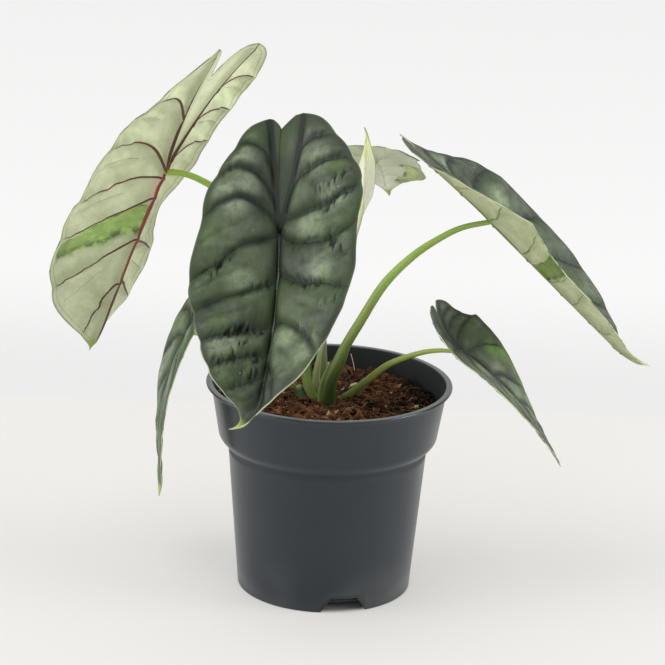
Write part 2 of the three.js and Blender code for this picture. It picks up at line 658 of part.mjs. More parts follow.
// A stalk runs to the underside of its blade, whose own clearance trims it there.
function stalkRoute(leaf) {
  const normal = railFrame(leaf, 0).up;
  const end = new THREE.Vector3(...leaf.junction).addScaledVector(normal, STALK_REACH);
  return [...leaf.stalk.route, end.toArray()];
}

function stalkSolid(leaf, grow) {
  return toSolid(sweep(stalkRoute(leaf), leaf.stalk.radii, STALK_SIDES, STALK_STEPS, grow));
}

function makeLeaf(name, leaf) {
  const blade = bladeGeometry(leaf);
  const stalk = mainBody(stalkSolid(leaf, 0).subtract(toSolid(bladeGeometry(leaf, CLEARANCE))));
  return [
    makePiece(`${name}_blade`, blade, name === 'young' ? FINISH.young : FINISH.blade),
    makePiece(`${name}_stalk`, toGeometry(stalk), FINISH.stalk),
  ];
}

// The crown, with a hole for each stalk that stands in it.

function crownSolid(grow) {
  const grown = CORM.map(([r, z]) => [r > 0 ? r + grow : 0, z > CORM_MIDDLE ? z + grow : z - grow]);
  const corm = turn(grown, CORM_SIDES);
  corm.translate(...CORM_AXIS, 0);
  const stub = sweep(STUB.route, STUB.radii, STUB.sides, STUB.steps, grow);
  const sheath = sweep(SHEATH.route, SHEATH.radii, SHEATH.sides, SHEATH.steps, grow);
  return toSolid(corm).add(toSolid(stub)).add(toSolid(sheath));
}

function makeCrown(stalkHoles) {
  let crown = crownSolid(0);
  for (const hole of stalkHoles) crown = crown.subtract(hole);
  return makePiece('crown', toGeometry(mainBody(crown)), FINISH.crown);
}

const plant = new THREE.Group();
plant.position.set(...POT_AXIS, 0);
const leaves = Object.entries(LEAVES).map(([name, leaf]) => [
  name,
  { ...leaf, foreRail: midribRail(leaf, true), hindRail: midribRail(leaf, false) },
]);
const stalkHoles = leaves.map(([, leaf]) => stalkSolid(leaf, CLEARANCE));
plant.add(makePot());
plant.add(makeSoil([crownSolid(CLEARANCE), ...stalkHoles]));
plant.add(makeCrown(stalkHoles));
for (const [name, leaf] of leaves) plant.add(...makeLeaf(name, leaf));

const group = new THREE.Group();
group.add(plant);
export default group;
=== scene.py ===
"""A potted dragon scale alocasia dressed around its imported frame: seven thick quilted leaves on
arching stalks, the crown, coir potting mix and a slate grey growers' pot."""

import json
import math

import bmesh
import bpy
import numpy as np
from mathutils import Matrix, Vector
from mathutils.kdtree import KDTree

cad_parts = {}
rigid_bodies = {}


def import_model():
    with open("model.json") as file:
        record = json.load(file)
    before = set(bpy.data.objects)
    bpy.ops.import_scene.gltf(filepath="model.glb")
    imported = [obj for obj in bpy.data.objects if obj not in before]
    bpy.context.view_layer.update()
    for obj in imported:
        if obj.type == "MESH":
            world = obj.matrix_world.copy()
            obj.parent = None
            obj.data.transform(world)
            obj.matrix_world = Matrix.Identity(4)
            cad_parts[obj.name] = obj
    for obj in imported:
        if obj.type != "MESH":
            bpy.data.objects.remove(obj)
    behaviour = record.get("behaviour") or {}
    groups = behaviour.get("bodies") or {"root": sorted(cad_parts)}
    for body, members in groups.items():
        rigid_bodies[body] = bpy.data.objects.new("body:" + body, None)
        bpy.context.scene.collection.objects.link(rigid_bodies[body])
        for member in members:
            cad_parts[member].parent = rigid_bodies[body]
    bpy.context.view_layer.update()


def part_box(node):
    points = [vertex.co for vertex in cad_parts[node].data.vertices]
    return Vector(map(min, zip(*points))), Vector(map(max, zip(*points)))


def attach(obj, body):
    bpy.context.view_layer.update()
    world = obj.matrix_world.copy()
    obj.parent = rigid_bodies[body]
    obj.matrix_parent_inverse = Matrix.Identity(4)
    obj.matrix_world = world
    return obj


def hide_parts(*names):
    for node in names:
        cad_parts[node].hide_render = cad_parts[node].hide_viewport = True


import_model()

# Places below are millimetres from the pot's axis on the floor, unless another unit is given.
MM = 0.001
POT_LOW, POT_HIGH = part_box("pot")
POT_AXIS = Vector(((POT_LOW.x + POT_HIGH.x) / 2, (POT_LOW.y + POT_HIGH.y) / 2, 0))
SEED = 4711

# The photograph: 665 pixels square, taken from the front and above. Angles are in radians.
PHOTO_SIZE, FOCAL_PIXELS, SENSOR = 665, 3172.8, 36.0
CAMERA_BACK, CAMERA_HEIGHT = 1463.3, 598.5
CAMERA_DOWN, CAMERA_ROLL, CAMERA_TURN = 0.3105, 0.0317, 0.0005
CAMERA_CLIP = (0.05, 50)

# The stage, in metres: half width, front and back edge, height, nearer and farther colour and
# glow of each sheet, then place, target and power of each round lamp. The backdrop's farther
# colour is lighter: painted light that evens out the light falling off towards the back.
TABLE_EDGE = 0.265
SHEETS = {
    "table": (2.2, -3.0, TABLE_EDGE, 0.0, (172, 170, 166), (172, 170, 166), 0.36),
    "backdrop": (3.2, TABLE_EDGE, 4.2, -0.0006, (124, 124, 123), (150, 150, 149), 0.59),
}
LAMPS = {
    "above": ((-0.5, -0.6, 1.8), (0, 0, 0.12), 8),
    "left": ((-1.4, -0.25, 0.4), (0, 0, 0.1), 12),
    "right": ((1.4, -0.25, 0.4), (0, 0, 0.1), 17),
}
LAMP_SIZE = 1.0
WORLD_LIGHT = 0.78

# The pot. Pairs are a radius and a height. Faces above FLAT_FACE square metres are shaded flat.
POT_HEIGHT = 104
WALL = 1.5
FOOT_RADIUS = 42.4
BODY_TOP = (48.6, 71.5)
COLLAR_FOOT = (53.1, 76.5)
COLLAR_TOP = (57, 99.5)
LIP_RADIUS, LIP_INNER, LIP_ROUND = 60, 56.8, 0.8
PLATE_BOTTOM, PLATE_TOP = 2.8, 4.3
POT_SIDES = 180
NOTCH = {"count": 3, "first": 14, "foot": 22.5, "top": 13, "height": 7.2, "below": 1,
         "near": 36.5, "far": 50}
DRAIN = {"count": 6, "radius": 3.6, "ring": 31, "depth": 6, "sides": 28}
LIP_UNDER = ((58.2, 102.2), (57.5, 101.6), (57.2, 100.6))
FLAT_FACE = 0.0002

# The potting mix: its sloping top, how far its body is sunk under the crumbs and how rough it is,
# its clearance in the pot, how many loose pieces it has and the tones of its odd bits.
MIX_TOP = 93
MIX_SLOPE_X, MIX_SLOPE_Y = -0.02, 0.035
MIX_RADIUS = 53.0
MIX_SIDES, MIX_RINGS = 144, 34
MIX_SUNK, MIX_GRIT = 1.2, 0.7
MIX_CLEARANCE = 0.3
CRUMBS, CHIPS, FIBRES = 5200, 110, 900
CREAM, YELLOW, GREEN = 1.2, 1.5, 1.8
MIX_SEEDS = {"hills": 61, "bumps": 62, "grit": 63, "tone": 64, "crumbs": 65, "chips": 66}

# The few larger things that stand out on the mix: route, thickness, tone and sides of chunks, a
# cream splinter and fibres.
BITS = (
    (((5.8, 13.7, 94.5), (9.5, 19, 95.2), (13.2, 24.4, 95)), 0.75, CREAM, 5),
    (((41.6, -11.3, 96), (42.4, -11, 96.2), (43.2, -10.8, 96)), 0.8, YELLOW, 5),
    (((42.8, -10.2, 96.2), (43.2, -10, 96.3), (43.6, -9.8, 96.2)), 0.5, GREEN, 5),
    (((10.3, 46.8, 103), (11.6, 43, 99.6), (12.6, 39.3, 95.5)), 0.18, CREAM, 3),
    (((6.8, -19, 94), (8.6, -20.2, 97), (10.8, -20.7, 98), (13.6, -19.6, 97), (15.9, -17.8, 94)),
     0.2, 0.9, 3),
    (((-54, 9, 94), (-51, 10, 94.8), (-48.4, 10.6, 94.2)), 1.4, 0.86, 5),
    (((-50.4, -4.6, 94), (-48.6, -3.6, 94.8), (-46.6, -2.4, 94.2)), 1.2, 0.9, 5),
)

# The crown: route, radii, sides, steps, seed and wobble of the buried corm, of the cut stub and of
# the sheath edge that clasps the right leaf's stalk, and how pale each is.
CROWN = (
    (((-6.5, 8, 50), (-6.5, 8, 60), (-6.5, 8, 72), (-6.5, 8, 86)),
     (3, 10.5, 13, 13.5, 9), 28, 24, 3, 0.08, 0.0),
    (((-12.8, 4.4, 80), (-12.7, 4, 91.5), (-13.7, 3.7, 96), (-14.9, 3.6, 100.2)),
     (5, 4.7, 3.3, 1.3), 22, 16, 5, 0.08, 0.0),
    (((-4.6, -1.6, 80), (-4.6, -2, 92), (-4.2, -2.6, 102), (-2.4, -3, 108.4), (0, -3.4, 114.5)),
     (1.5, 1.3, 1.0, 0.8, 0.3), 16, 28, 6, 0.05, 1.0),
)

# Blades: the stations where widths are given, as shares of the length or, negative, of the hind
# lobes; the steps of curves and the size of cells; thicknesses, and how far spots reach.
STATIONS = (-0.88, -0.6, -0.3, 0.04, 0.27, 0.5, 0.7, 0.84, 0.93)
TIP_STATION = (0.972, 0.045)
TIP_FROM = 0.8
RAIL_STEPS, MARGIN_STEPS = 120, 24
CELL, COLUMN_EASE = 1.0, 0.85
BLADE_THICKNESS, MARGIN_THICKNESS = 0.8, 0.45
HIGHLIGHT_REACH, GREEN_REACH, PUCKER_REACH = 7.5, 5.5, 1.7
CREASE_DEPTH, LEAST_CURL = 0.4, 0.01
VEIN_VALLEY, RIB_VALLEY, MINOR_VALLEY = 3.4, 3.2, 1.6
RIB_KEEL, RIB_KEEL_WIDTH = 0.9, 1.1
VEIN_KEEL, VEIN_KEEL_WIDTH = 0.35, 0.7
WELD_PER_MM = 500

# The wedge between the hind ribs: its columns of points, how far its fold is rounded, how silvery
# it is and what is added to its distances from veins, because it has none.
WEDGE_COLUMNS = 9
WEDGE_ROUND = 5.0
WEDGE_SILVER = 0.35
NO_VEIN = 30

# Stalks.
STALK_SIDES, STALK_STEPS, STALK_WOBBLE = 22, 100, 0.04

# Side veins of a half: where each leaves the midrib or hind rib, where it crosses the half's
# middle and where it meets the margin. Negative stations are shares of the hind lobes.
USUAL_VEINS = (
    (-0.62, -0.74, -0.72), (-0.34, -0.5, -0.46), (-0.12, -0.22, -0.14), (0.02, 0.1, 0.27),
    (0.24, 0.34, 0.55), (0.46, 0.56, 0.73), (0.64, 0.72, 0.85), (0.8, 0.86, 0.94),
)
FRONT_RIGHT_VEINS = (
    (-0.66, -0.74, -0.72), (-0.36, -0.52, -0.5), (-0.12, -0.16, -0.3), (0.01, 0.08, -0.03),
    (0.2, 0.26, 0.3), (0.43, 0.46, 0.6), (0.62, 0.68, 0.8), (0.8, 0.85, 0.93),
)
FRONT_LEFT_VEINS = (
    (-0.6, -0.73, -0.68), (-0.3, -0.53, -0.44), (-0.1, -0.27, -0.08), (0.02, 0.1, 0.28),
    (0.24, 0.31, 0.43), (0.45, 0.49, 0.57), (0.58, 0.62, 0.69), (0.68, 0.73, 0.79),
    (0.8, 0.86, 0.94),
)
TALL_LEFT_VEINS = (
    (-0.42, -0.6, -0.48), (-0.005, -0.23, -0.18), (0.03, 0.045, 0.16), (0.13, 0.235, 0.35),
    (0.35, 0.475, 0.61), (0.6, 0.68, 0.9),
)
TALL_RIGHT_VEINS = (
    (-0.6, -0.7, -0.66), (-0.34, -0.42, -0.38), (-0.08, -0.14, -0.1), (0.37, 0.43, 0.52),
    (0.58, 0.67, 0.78),
)
RIGHT_NEAR_VEINS = (
    (-0.62, -0.74, -0.72), (-0.34, -0.5, -0.46), (-0.02, -0.12, -0.25), (0.2, 0.14, 0.06),
    (0.27, 0.24, 0.19), (0.38, 0.35, 0.31), (0.53, 0.48, 0.42), (0.7, 0.68, 0.66),
    (0.84, 0.86, 0.88),
)
REAR_VEINS = (
    (-0.5, -0.6, -0.58), (-0.15, -0.22, -0.2), (0.19, 0.16, 0.17), (0.5, 0.5, 0.55),
    (0.8, 0.86, 0.94),
)

# Places on the leaves' flat drawings: the brightest pillows, which get a painted highlight, the
# greenest places, and bands of strong puckers.
FRONT_HIGHLIGHTS = (
    (-19.5, -36), (-24, -33), (-17.5, -22), (-26, -17), (-23, -12), (-20, -42), (18, -1),
    (11, -42), (22.5, -31), (31, -12), (25, 22), (13.5, 51), (26, 60), (-22.5, 59), (-17.5, 27),
)
RIGHT_HIGHLIGHTS = ((16, -34), (24, 2))
RIGHT_GREEN = ((14, 22, 0.5), (16, 38, 0.4), (12, 54, 0.6), (8, 67, 0.6), (12, -30, 0.3))
LOW_HIGHLIGHTS = ((8, 24), (-5, 10), (-9, 26), (-26, 16), (6, 36), (12, -24), (8, 50))
LOW_GREEN = (
    (18, 16, 1.0), (22, 23, 1.0), (24, 33, 0.8), (20, 42, 0.7), (16, 50, 0.5), (-26, 4, 0.4),
)
HANGING_HIGHLIGHTS = ((3, 50), (-3, 50), (3, 58), (-3, 58), (0, 66), (0, 72))
HANGING_GREEN = ((0, 42, 0.5), (0, 48, 0.7), (0, 54, 0.7), (0, 76, 0.9), (0, 83, 1.0))
FRONT_GREEN = ((33, -26, 0.35), (27, 27, 0.3), (-34, 4, 0.3), (-25, 48, 0.35), (8, 46, 0.3))
FRONT_PUCKERS = (
    ((-33.5, 24), (-24.4, 15.5)), ((-32, 26), (-27, 20)), ((-22.8, 53.7), (-14.4, 48.6)),
    ((-13, 48.6), (-3.3, 50.1)), ((-25.6, 67), (-19.4, 64.8)), ((-19.4, 64), (-13.6, 56)),
    ((-10.6, 71.4), (-1.1, 67.7)), ((-8.3, 63.3), (-1.7, 61.1)), ((-10.6, 26.5), (-3.3, 25.8)),
    ((27.5, 7.4), (32.8, 12.6)), ((32.8, 12), (39, 14.5)), ((14.8, 29.5), (24.4, 28)),
    ((28, 37), (37.6, 36.8)), ((23.3, -16.8), (39, -22)), ((27, -6.5), (39, -14)),
)

# The undersides' colours, 0 to 255.
UNDERSIDES = {
    "red": dict(base=(217, 224, 188), veins=(98, 62, 50), hind_ribs=(84, 54, 42),
                midrib=(142, 74, 62), border=(132, 140, 114), patch=(156, 183, 107),
                blush=(226, 186, 170)),
    "green": dict(base=(202, 209, 166), veins=(124, 142, 90), hind_ribs=(118, 130, 92),
                  midrib=(124, 136, 96), border=(116, 136, 84), patch=(112, 136, 56),
                  blush=(198, 204, 160)),
    "bright": dict(base=(222, 227, 200), veins=(108, 122, 86), hind_ribs=(160, 172, 132),
                   midrib=(166, 178, 138), border=(156, 168, 130), patch=(184, 198, 136),
                   blush=(218, 222, 196)),
}

# What the leaves share. Angles are in degrees: heading, dip and roll at the junction, then sway,
# droop and twist gained up to the tip, bank and back up to the notch, and what tip_ adds near the
# tip. Pairs are the two halves' own values. Pillow, wrinkle, wave and scallop are heights. Silver,
# shine and fresh are how silvery the blade is, how strong the painted highlight at its brightest
# pillows is and how green the blade is, ink and bold how strong and how wide its veins show below.
# Skin is the stalk's lower and upper colour and how dark the painted shade along its channel is.
# Patch is the greener panel's half, stations, span across and narrowing.
PLAIN = {"tip_roll": 0, "fold_tip": (0, 0), "bow": (1.5, 1.5), "bright": (), "green": (),
         "puckers": (), "shine": 1.1, "ink": 1.0, "bold": (1, 1), "warp": 0.8, "sinus": 0.86,
         "lobe": (0.27, 0.27), "veins": (USUAL_VEINS, USUAL_VEINS), "under": "green"}
LARGE = dict(PLAIN, columns=60, pillow=3.5, wrinkle=0.55, wave=0.9, scallop=0.9, silver=0.52,
             fresh=0.1)
SMALL = dict(PLAIN, columns=32, pillow=1.4, wrinkle=0.16, wave=0.4, scallop=0.2, silver=0.64,
             fresh=0.12)
LEAVES = {
    "front": dict(
        # The lower stalk colour is painted light: lighter, to offset the front leaf's shade on the stalk.
        LARGE, under="red", skin=((160, 176, 102), (116, 140, 74), 0.1),
        veins=(FRONT_RIGHT_VEINS, FRONT_LEFT_VEINS), junction=(-25.3, -50.5, 192.3), heading=-86,
        dip=56, roll=-10, twist=2.3, droop=-4.8, back=12.3, sway=-27.3, bank=7, tip_sway=-89,
        tip_lift=-36.7, tip_roll=24, fold_tip=(-14, -56), bow=(1.7, 0.8),
        length=103, lobes=58, sinus=0.9, half=(41, 43), lobe=(0.32, 0.16),
        fold=(27.3, 26), fold_fore=(5.4, 4.6), fold_back=(1.5, 0.4), curl=(-12.8, -11),
        widths=((25, 37.5, 44.5, 41, 42, 36, 24.6, 3.2, 3.5),
                (16, 25.5, 34.5, 39, 42, 36, 27, 13.3, 7.4)),
        stalk=((-6.3, 3.6, 82), (-6.1, 3.5, 91.4), (-8.5, 2.8, 95.8), (-10.7, 1.6, 102), (-12.3, 1, 111),
               (-18, -4, 138), (-20.5, -14, 158), (-22.5, -27, 176), (-24.3, -40, 187.5)),
        radii=(2.3, 2.3, 2.35, 2.35, 2.3, 2, 1.8, 1.6, 1.45, 1.4),
        silver=0.25, shine=1.15, fresh=0.12, scallop=0.8, bright=FRONT_HIGHLIGHTS, puckers=FRONT_PUCKERS,
        green=FRONT_GREEN,
    ),
    "tall": dict(
        LARGE, under="red", skin=((96, 118, 56), (146, 178, 68), 0.0),
        veins=(TALL_LEFT_VEINS, TALL_RIGHT_VEINS), junction=(-82.7, 21.8, 201), heading=134.8,
        dip=61.7, roll=2, twist=4.8, droop=-1.9, back=11.6, sway=-11.2, bank=4.7, tip_sway=20,
        tip_lift=-1.5, length=123, lobes=84.5, sinus=0.74, half=(46, 46), lobe=(0.14, 0.38),
        bow=(2.2, 0.8), bold=(0.8, 1.6), warp=0.0, wrinkle=0.1,
        fold=(14.3, 20.7), fold_fore=(-2.2, 6.4), fold_back=(-15, -11.4), curl=(-0.7, -29.2),
        widths=((11.5, 23.5, 36, 40.5, 43.5, 42, 32.5, 19, 7),
                (27, 32, 29.5, 30, 14.5, 23, 22.5, 15.5, 7)),
        stalk=((-8.6, 15.4, 82), (-9.5, 15.5, 95), (-16, 17, 125), (-27, 19, 155), (-42, 20.5, 180),
               (-56, 21, 192), (-66, 21.3, 197.8), (-74, 21.6, 200.4)),
        radii=(2.8, 2.8, 2.4, 2.1, 1.9, 1.7, 1.6, 1.5, 1.5),
        patch=(0, 0.14, 0.365, -0.14, 0.97, 0.3),
    ),
    "right": dict(
        LARGE, skin=((64, 80, 34), (144, 170, 80), 0.6),
        veins=(USUAL_VEINS, RIGHT_NEAR_VEINS), junction=(74.6, -15.2, 191.5), heading=10.4, dip=44.8,
        roll=0.4, twist=-6, droop=-0.2, back=4.2, sway=-4.4, bank=15.5, tip_sway=17.8, tip_lift=-26,
        length=111.5, lobes=60, half=(40, 40), lobe=(0.36, 0.09),
        fold=(10.4, 9.5), fold_fore=(-8.5, 2.1), fold_back=(-23.2, -15.9), curl=(28.8, 16.6),
        widths=((16.5, 28.5, 39, 40.5, 40, 38, 28, 15, 5.5),
                (22.5, 35, 42, 41, 32.5, 32.5, 25, 14.5, 5.5)),
        stalk=((-0.4, -1.2, 82), (-0.4, -1.6, 94.2), (0.6, -3, 105.2), (4.7, -4.6, 116.8), (7.8, -4.9, 125),
               (13.4, -5, 135.5), (24.7, -7, 156.2), (37.5, -9, 171), (50, -11, 181), (61, -13, 187.5)),
        radii=(4, 3.8, 3.4, 3.05, 2.45, 2.35, 2.2, 1.9, 1.6, 1.4, 1.25),
        patch=(1, 0.26, 0.4, -0.2, 1.1, 0.0), bright=RIGHT_HIGHLIGHTS, pillow=2.0, scallop=0.3, silver=0.24,
        green=RIGHT_GREEN,
    ),
    "low": dict(
        SMALL, skin=((88, 104, 46), (152, 166, 80), 0.2), junction=(63.1, -15.6, 126.1), heading=4.6,
        dip=36.7, roll=-7.8, twist=-16.4, droop=24.3, back=-42.9, sway=24.9, bank=36.7, tip_sway=7.6,
        tip_lift=0.9, length=83.5, lobes=28.6, sinus=0.83, half=(25, 25), lobe=(0.22, 0.33),
        fold=(10.2, 3.3), fold_fore=(-25.3, -3), fold_back=(-22.8, 7.5), curl=(24.4, 12.4),
        widths=((16.3, 23, 26.5, 28.1, 26.9, 21.6, 14.8, 8, 2.9),
                (19.8, 27.1, 29.9, 29.4, 26.3, 21.5, 14.8, 8, 2.9)),
        stalk=((5.5, 5.4, 82), (6.5, 5, 92.5), (11.3, 5, 97), (19.7, 4, 104.8), (29.2, 1, 113.6),
               (42.3, -5, 121.2), (52.3, -9.6, 124.6)),
        radii=(2, 1.95, 1.9, 1.8, 1.6, 1.3, 1.05, 0.85), silver=0.32, fresh=0.1,
        bright=LOW_HIGHLIGHTS, green=LOW_GREEN,
    ),
    "hanging": dict(
        SMALL, skin=((120, 136, 76), (186, 198, 124), 0.0), junction=(-69.6, 2.5, 126.1),
        heading=190.9, dip=64.7, roll=-1.9, twist=2.3, droop=36.4, back=3, sway=-4.7, bank=-0.3,
        tip_sway=19.9, tip_lift=-15.2, length=86.6, lobes=34.4, half=(22, 22),
        fold=(6, 10.4), fold_fore=(-9.4, -14.2), fold_back=(1.4, -2.9), curl=(-0.6, -4),
        widths=((13.6, 18.8, 21.3, 22.1, 20.9, 17.9, 12.9, 7.3, 2.8),
                (12.3, 17.9, 21.2, 23.1, 22.7, 18.9, 13.2, 7.3, 2.7)),
        stalk=((-15.8, 15.5, 82), (-16.3, 15.3, 90), (-20, 14.5, 98), (-29, 13, 108), (-40, 10.5, 117),
               (-52, 7, 122.5), (-61, 4.4, 124.3)),
        radii=(2.2, 2.2, 2, 1.8, 1.5, 1.3, 1.1, 1), bright=HANGING_HIGHLIGHTS, green=HANGING_GREEN,
    ),
    "rear": dict(
        SMALL, under="bright", skin=((90, 108, 58), (176, 186, 146), 0.0),
        veins=(REAR_VEINS, REAR_VEINS), junction=(19.9, 41.7, 205), heading=82, dip=26.2,
        roll=-0.4, twist=-2, droop=0, back=2.4, sway=5.5, bank=4.4, tip_sway=-25, tip_lift=31,
        length=72, lobes=34.5, half=(22, 22), lobe=(0.23, 0.4),
        fold=(7.1, 7.1), fold_fore=(1, 1), fold_back=(-3.6, -2.8), curl=(-18.5, -21.8), ink=0.12,
        patch=(1, 0.13, 0.75, 0.44, 1.0, 0.0),
        widths=((13, 18.3, 21.1, 22, 21, 18.3, 13.2, 7.5, 2.9),
                (12.4, 23.7, 21.2, 21.2, 21.5, 21.2, 12.7, 6.8, 2.1)),
        stalk=((-2.2, 13.8, 82), (-2.4, 14, 94), (-4, 17.5, 120), (-3.5, 22, 142), (1, 27, 163),
               (8, 33, 182), (15, 38.5, 197)),
        radii=(2.4, 2.4, 2, 1.8, 1.6, 1.4, 1.2, 1.1),
    ),
    "young": dict(
        # The lower stalk colour is painted light: lighter, to offset the shade that falls on the stalk
        # there.
        SMALL, skin=((156, 172, 100), (206, 214, 174), 0.1),
        pillow=0.2, wrinkle=0.0, wave=0.15, scallop=0.0, junction=(13.3, 15.5, 189.2),
        heading=-82.4, dip=-73.2, roll=3.6, twist=20.6, droop=0.4, back=0.3, sway=-10.5, bank=1.1,
        tip_sway=-31.4, tip_lift=15.6, length=44.5, lobes=8.7, half=(9, 9),
        fold=(57, 57.3), fold_fore=(-1, 5), fold_back=(-0.9, 0), curl=(0, 0),
        widths=((5.4, 7.6, 8.6, 9, 8.6, 6.6, 3.4, 1.4, 0.7),) * 2,
        stalk=((-6, 10.5, 82), (-6, 10.4, 90.2), (-6.3, 10, 97.5), (-6.4, 9.5, 104.3), (-4.4, 8.8, 118),
               (1.3, 9.5, 139.3), (6.6, 11, 160), (11.6, 12.2, 179.5), (12.7, 12.6, 185.5)),
        radii=(2.1, 2, 1.95, 1.9, 1.05, 1, 1, 1, 1, 1),
    ),
}


# Numbers.

def smooth(value, low, high):
    """0 below low, 1 above high and a soft step between."""
    share = np.clip((value - low) / (high - low), 0, 1)
    return share * share * (3 - 2 * share)


def value_noise(x, y, seed):
    """Smooth noise from -1 to 1 with features about one unit across."""
    x, y = np.asarray(x, float), np.asarray(y, float)
    cell_x, cell_y = np.floor(x).astype(int), np.floor(y).astype(int)
    part_x, part_y = x - cell_x, y - cell_y
    part_x, part_y = (p * p * (3 - 2 * p) for p in (part_x, part_y))

    def corner(dx, dy):
        mixed = (cell_x + dx) * 374761393 + (cell_y + dy) * 668265263 + seed * 1274126177
        mixed = (mixed ^ (mixed >> 13)) & 0x7FFFFFFF
        mixed = (mixed * 1103515245 + 12345) & 0x7FFFFFFF
        return ((mixed >> 8) % 20011) / 10005.0 - 1

    low = corner(0, 0) * (1 - part_x) + corner(1, 0) * part_x
    high = corner(0, 1) * (1 - part_x) + corner(1, 1) * part_x
    return low * (1 - part_y) + high * part_y


def spline(points, steps):
    """A smooth curve through the points, with this many steps between each two."""
    points = np.array(points, float)
    padded = np.vstack([2 * points[0] - points[1], points, 2 * points[-1] - points[-2]])
    share = (np.arange(steps) / steps)[:, None]
    pieces = []
    for a, b, c, d in zip(padded, padded[1:], padded[2:], padded[3:]):
        pieces.append(0.5 * (2 * b + (c - a) * share + (2 * a - 5 * b + 4 * c - d) * share**2
                             + (3 * b - a - 3 * c + d) * share**3))
    return np.vstack(pieces + [points[-1:]])


def nearest(points, curve):
    """Each point's distance to the nearest point of a densely sampled curve."""
    tree = KDTree(len(curve))
    for i, point in enumerate(curve):
        tree.insert((point[0], point[1], 0), i)
    tree.balance()
    return np.array([tree.find((x, y, 0))[2] for x, y in points])


# Meshes.

def new_object(name, data):
    """A new object in the scene for a mesh, a lamp or a camera."""
    made = bpy.data.objects.new(name, data)
    bpy.context.scene.collection.objects.link(made)
    return made


def make_object(name, points, faces, attributes, slots=None, smooth_shade=True):
    """A mesh object from points in millimetres about the pot's axis."""
    mesh = bpy.data.meshes.new(name)
    places = np.asarray(points, float) * MM + np.array(POT_AXIS)
    mesh.from_pydata(places.tolist(), [], faces)
    for key, values in attributes.items():
        values = np.asarray(values, float)
        kind, field = ("FLOAT_VECTOR", "vector") if values.ndim == 2 else ("FLOAT", "value")
        mesh.attributes.new(key, kind, "POINT").data.foreach_set(field, values.ravel())
    if slots is not None:
        mesh.polygons.foreach_set("material_index", slots)
    mesh.polygons.foreach_set("use_smooth", [smooth_shade] * len(mesh.polygons))
    mesh.update()
    return new_object(name, mesh)


def dress(piece, materials, node):
    """Gives a piece its materials and its body, and hides the model's part for the node it stands for."""
    for material in materials:
        piece.data.materials.append(material)
    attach(piece, "root")
    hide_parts(node)


def ring_faces(rings, sides):
    """Quads of a grid of closed rings, ring by ring."""
    faces = []
    for i in range(rings - 1):
        for j in range(sides):
            a, b = i * sides + j, i * sides + (j + 1) % sides
            faces.append((a, b, b + sides, a + sides))
    return faces


def turned_faces(rings, sides):
    """Faces of a closed turned body whose rings go from inside over the top to the foot."""
    count = rings * sides
    faces = [tuple(reversed(face)) for face in ring_faces(rings, sides)]
    return faces + [tuple(range(sides)), tuple(reversed(range(count - sides, count)))]


def ring(radius, height, sides):
    """Places on one level ring about the axis."""
    angles = np.linspace(0, 2 * math.pi, sides + 1)[:-1]
    return np.stack([radius * np.cos(angles), radius * np.sin(angles), 0 * angles + height], -1)


def join_parts(parts):
    """Stacks several (points, faces, measures) parts into one."""
    faces, start = [], 0
    for points, part_faces, _ in parts:
        faces += [tuple(i + start for i in face) for face in part_faces]
        start += len(points)
    measures = {key: np.concatenate([part[2][key] for part in parts]) for key in parts[0][2]}
    return np.vstack([part[0] for part in parts]), faces, measures


# Materials.

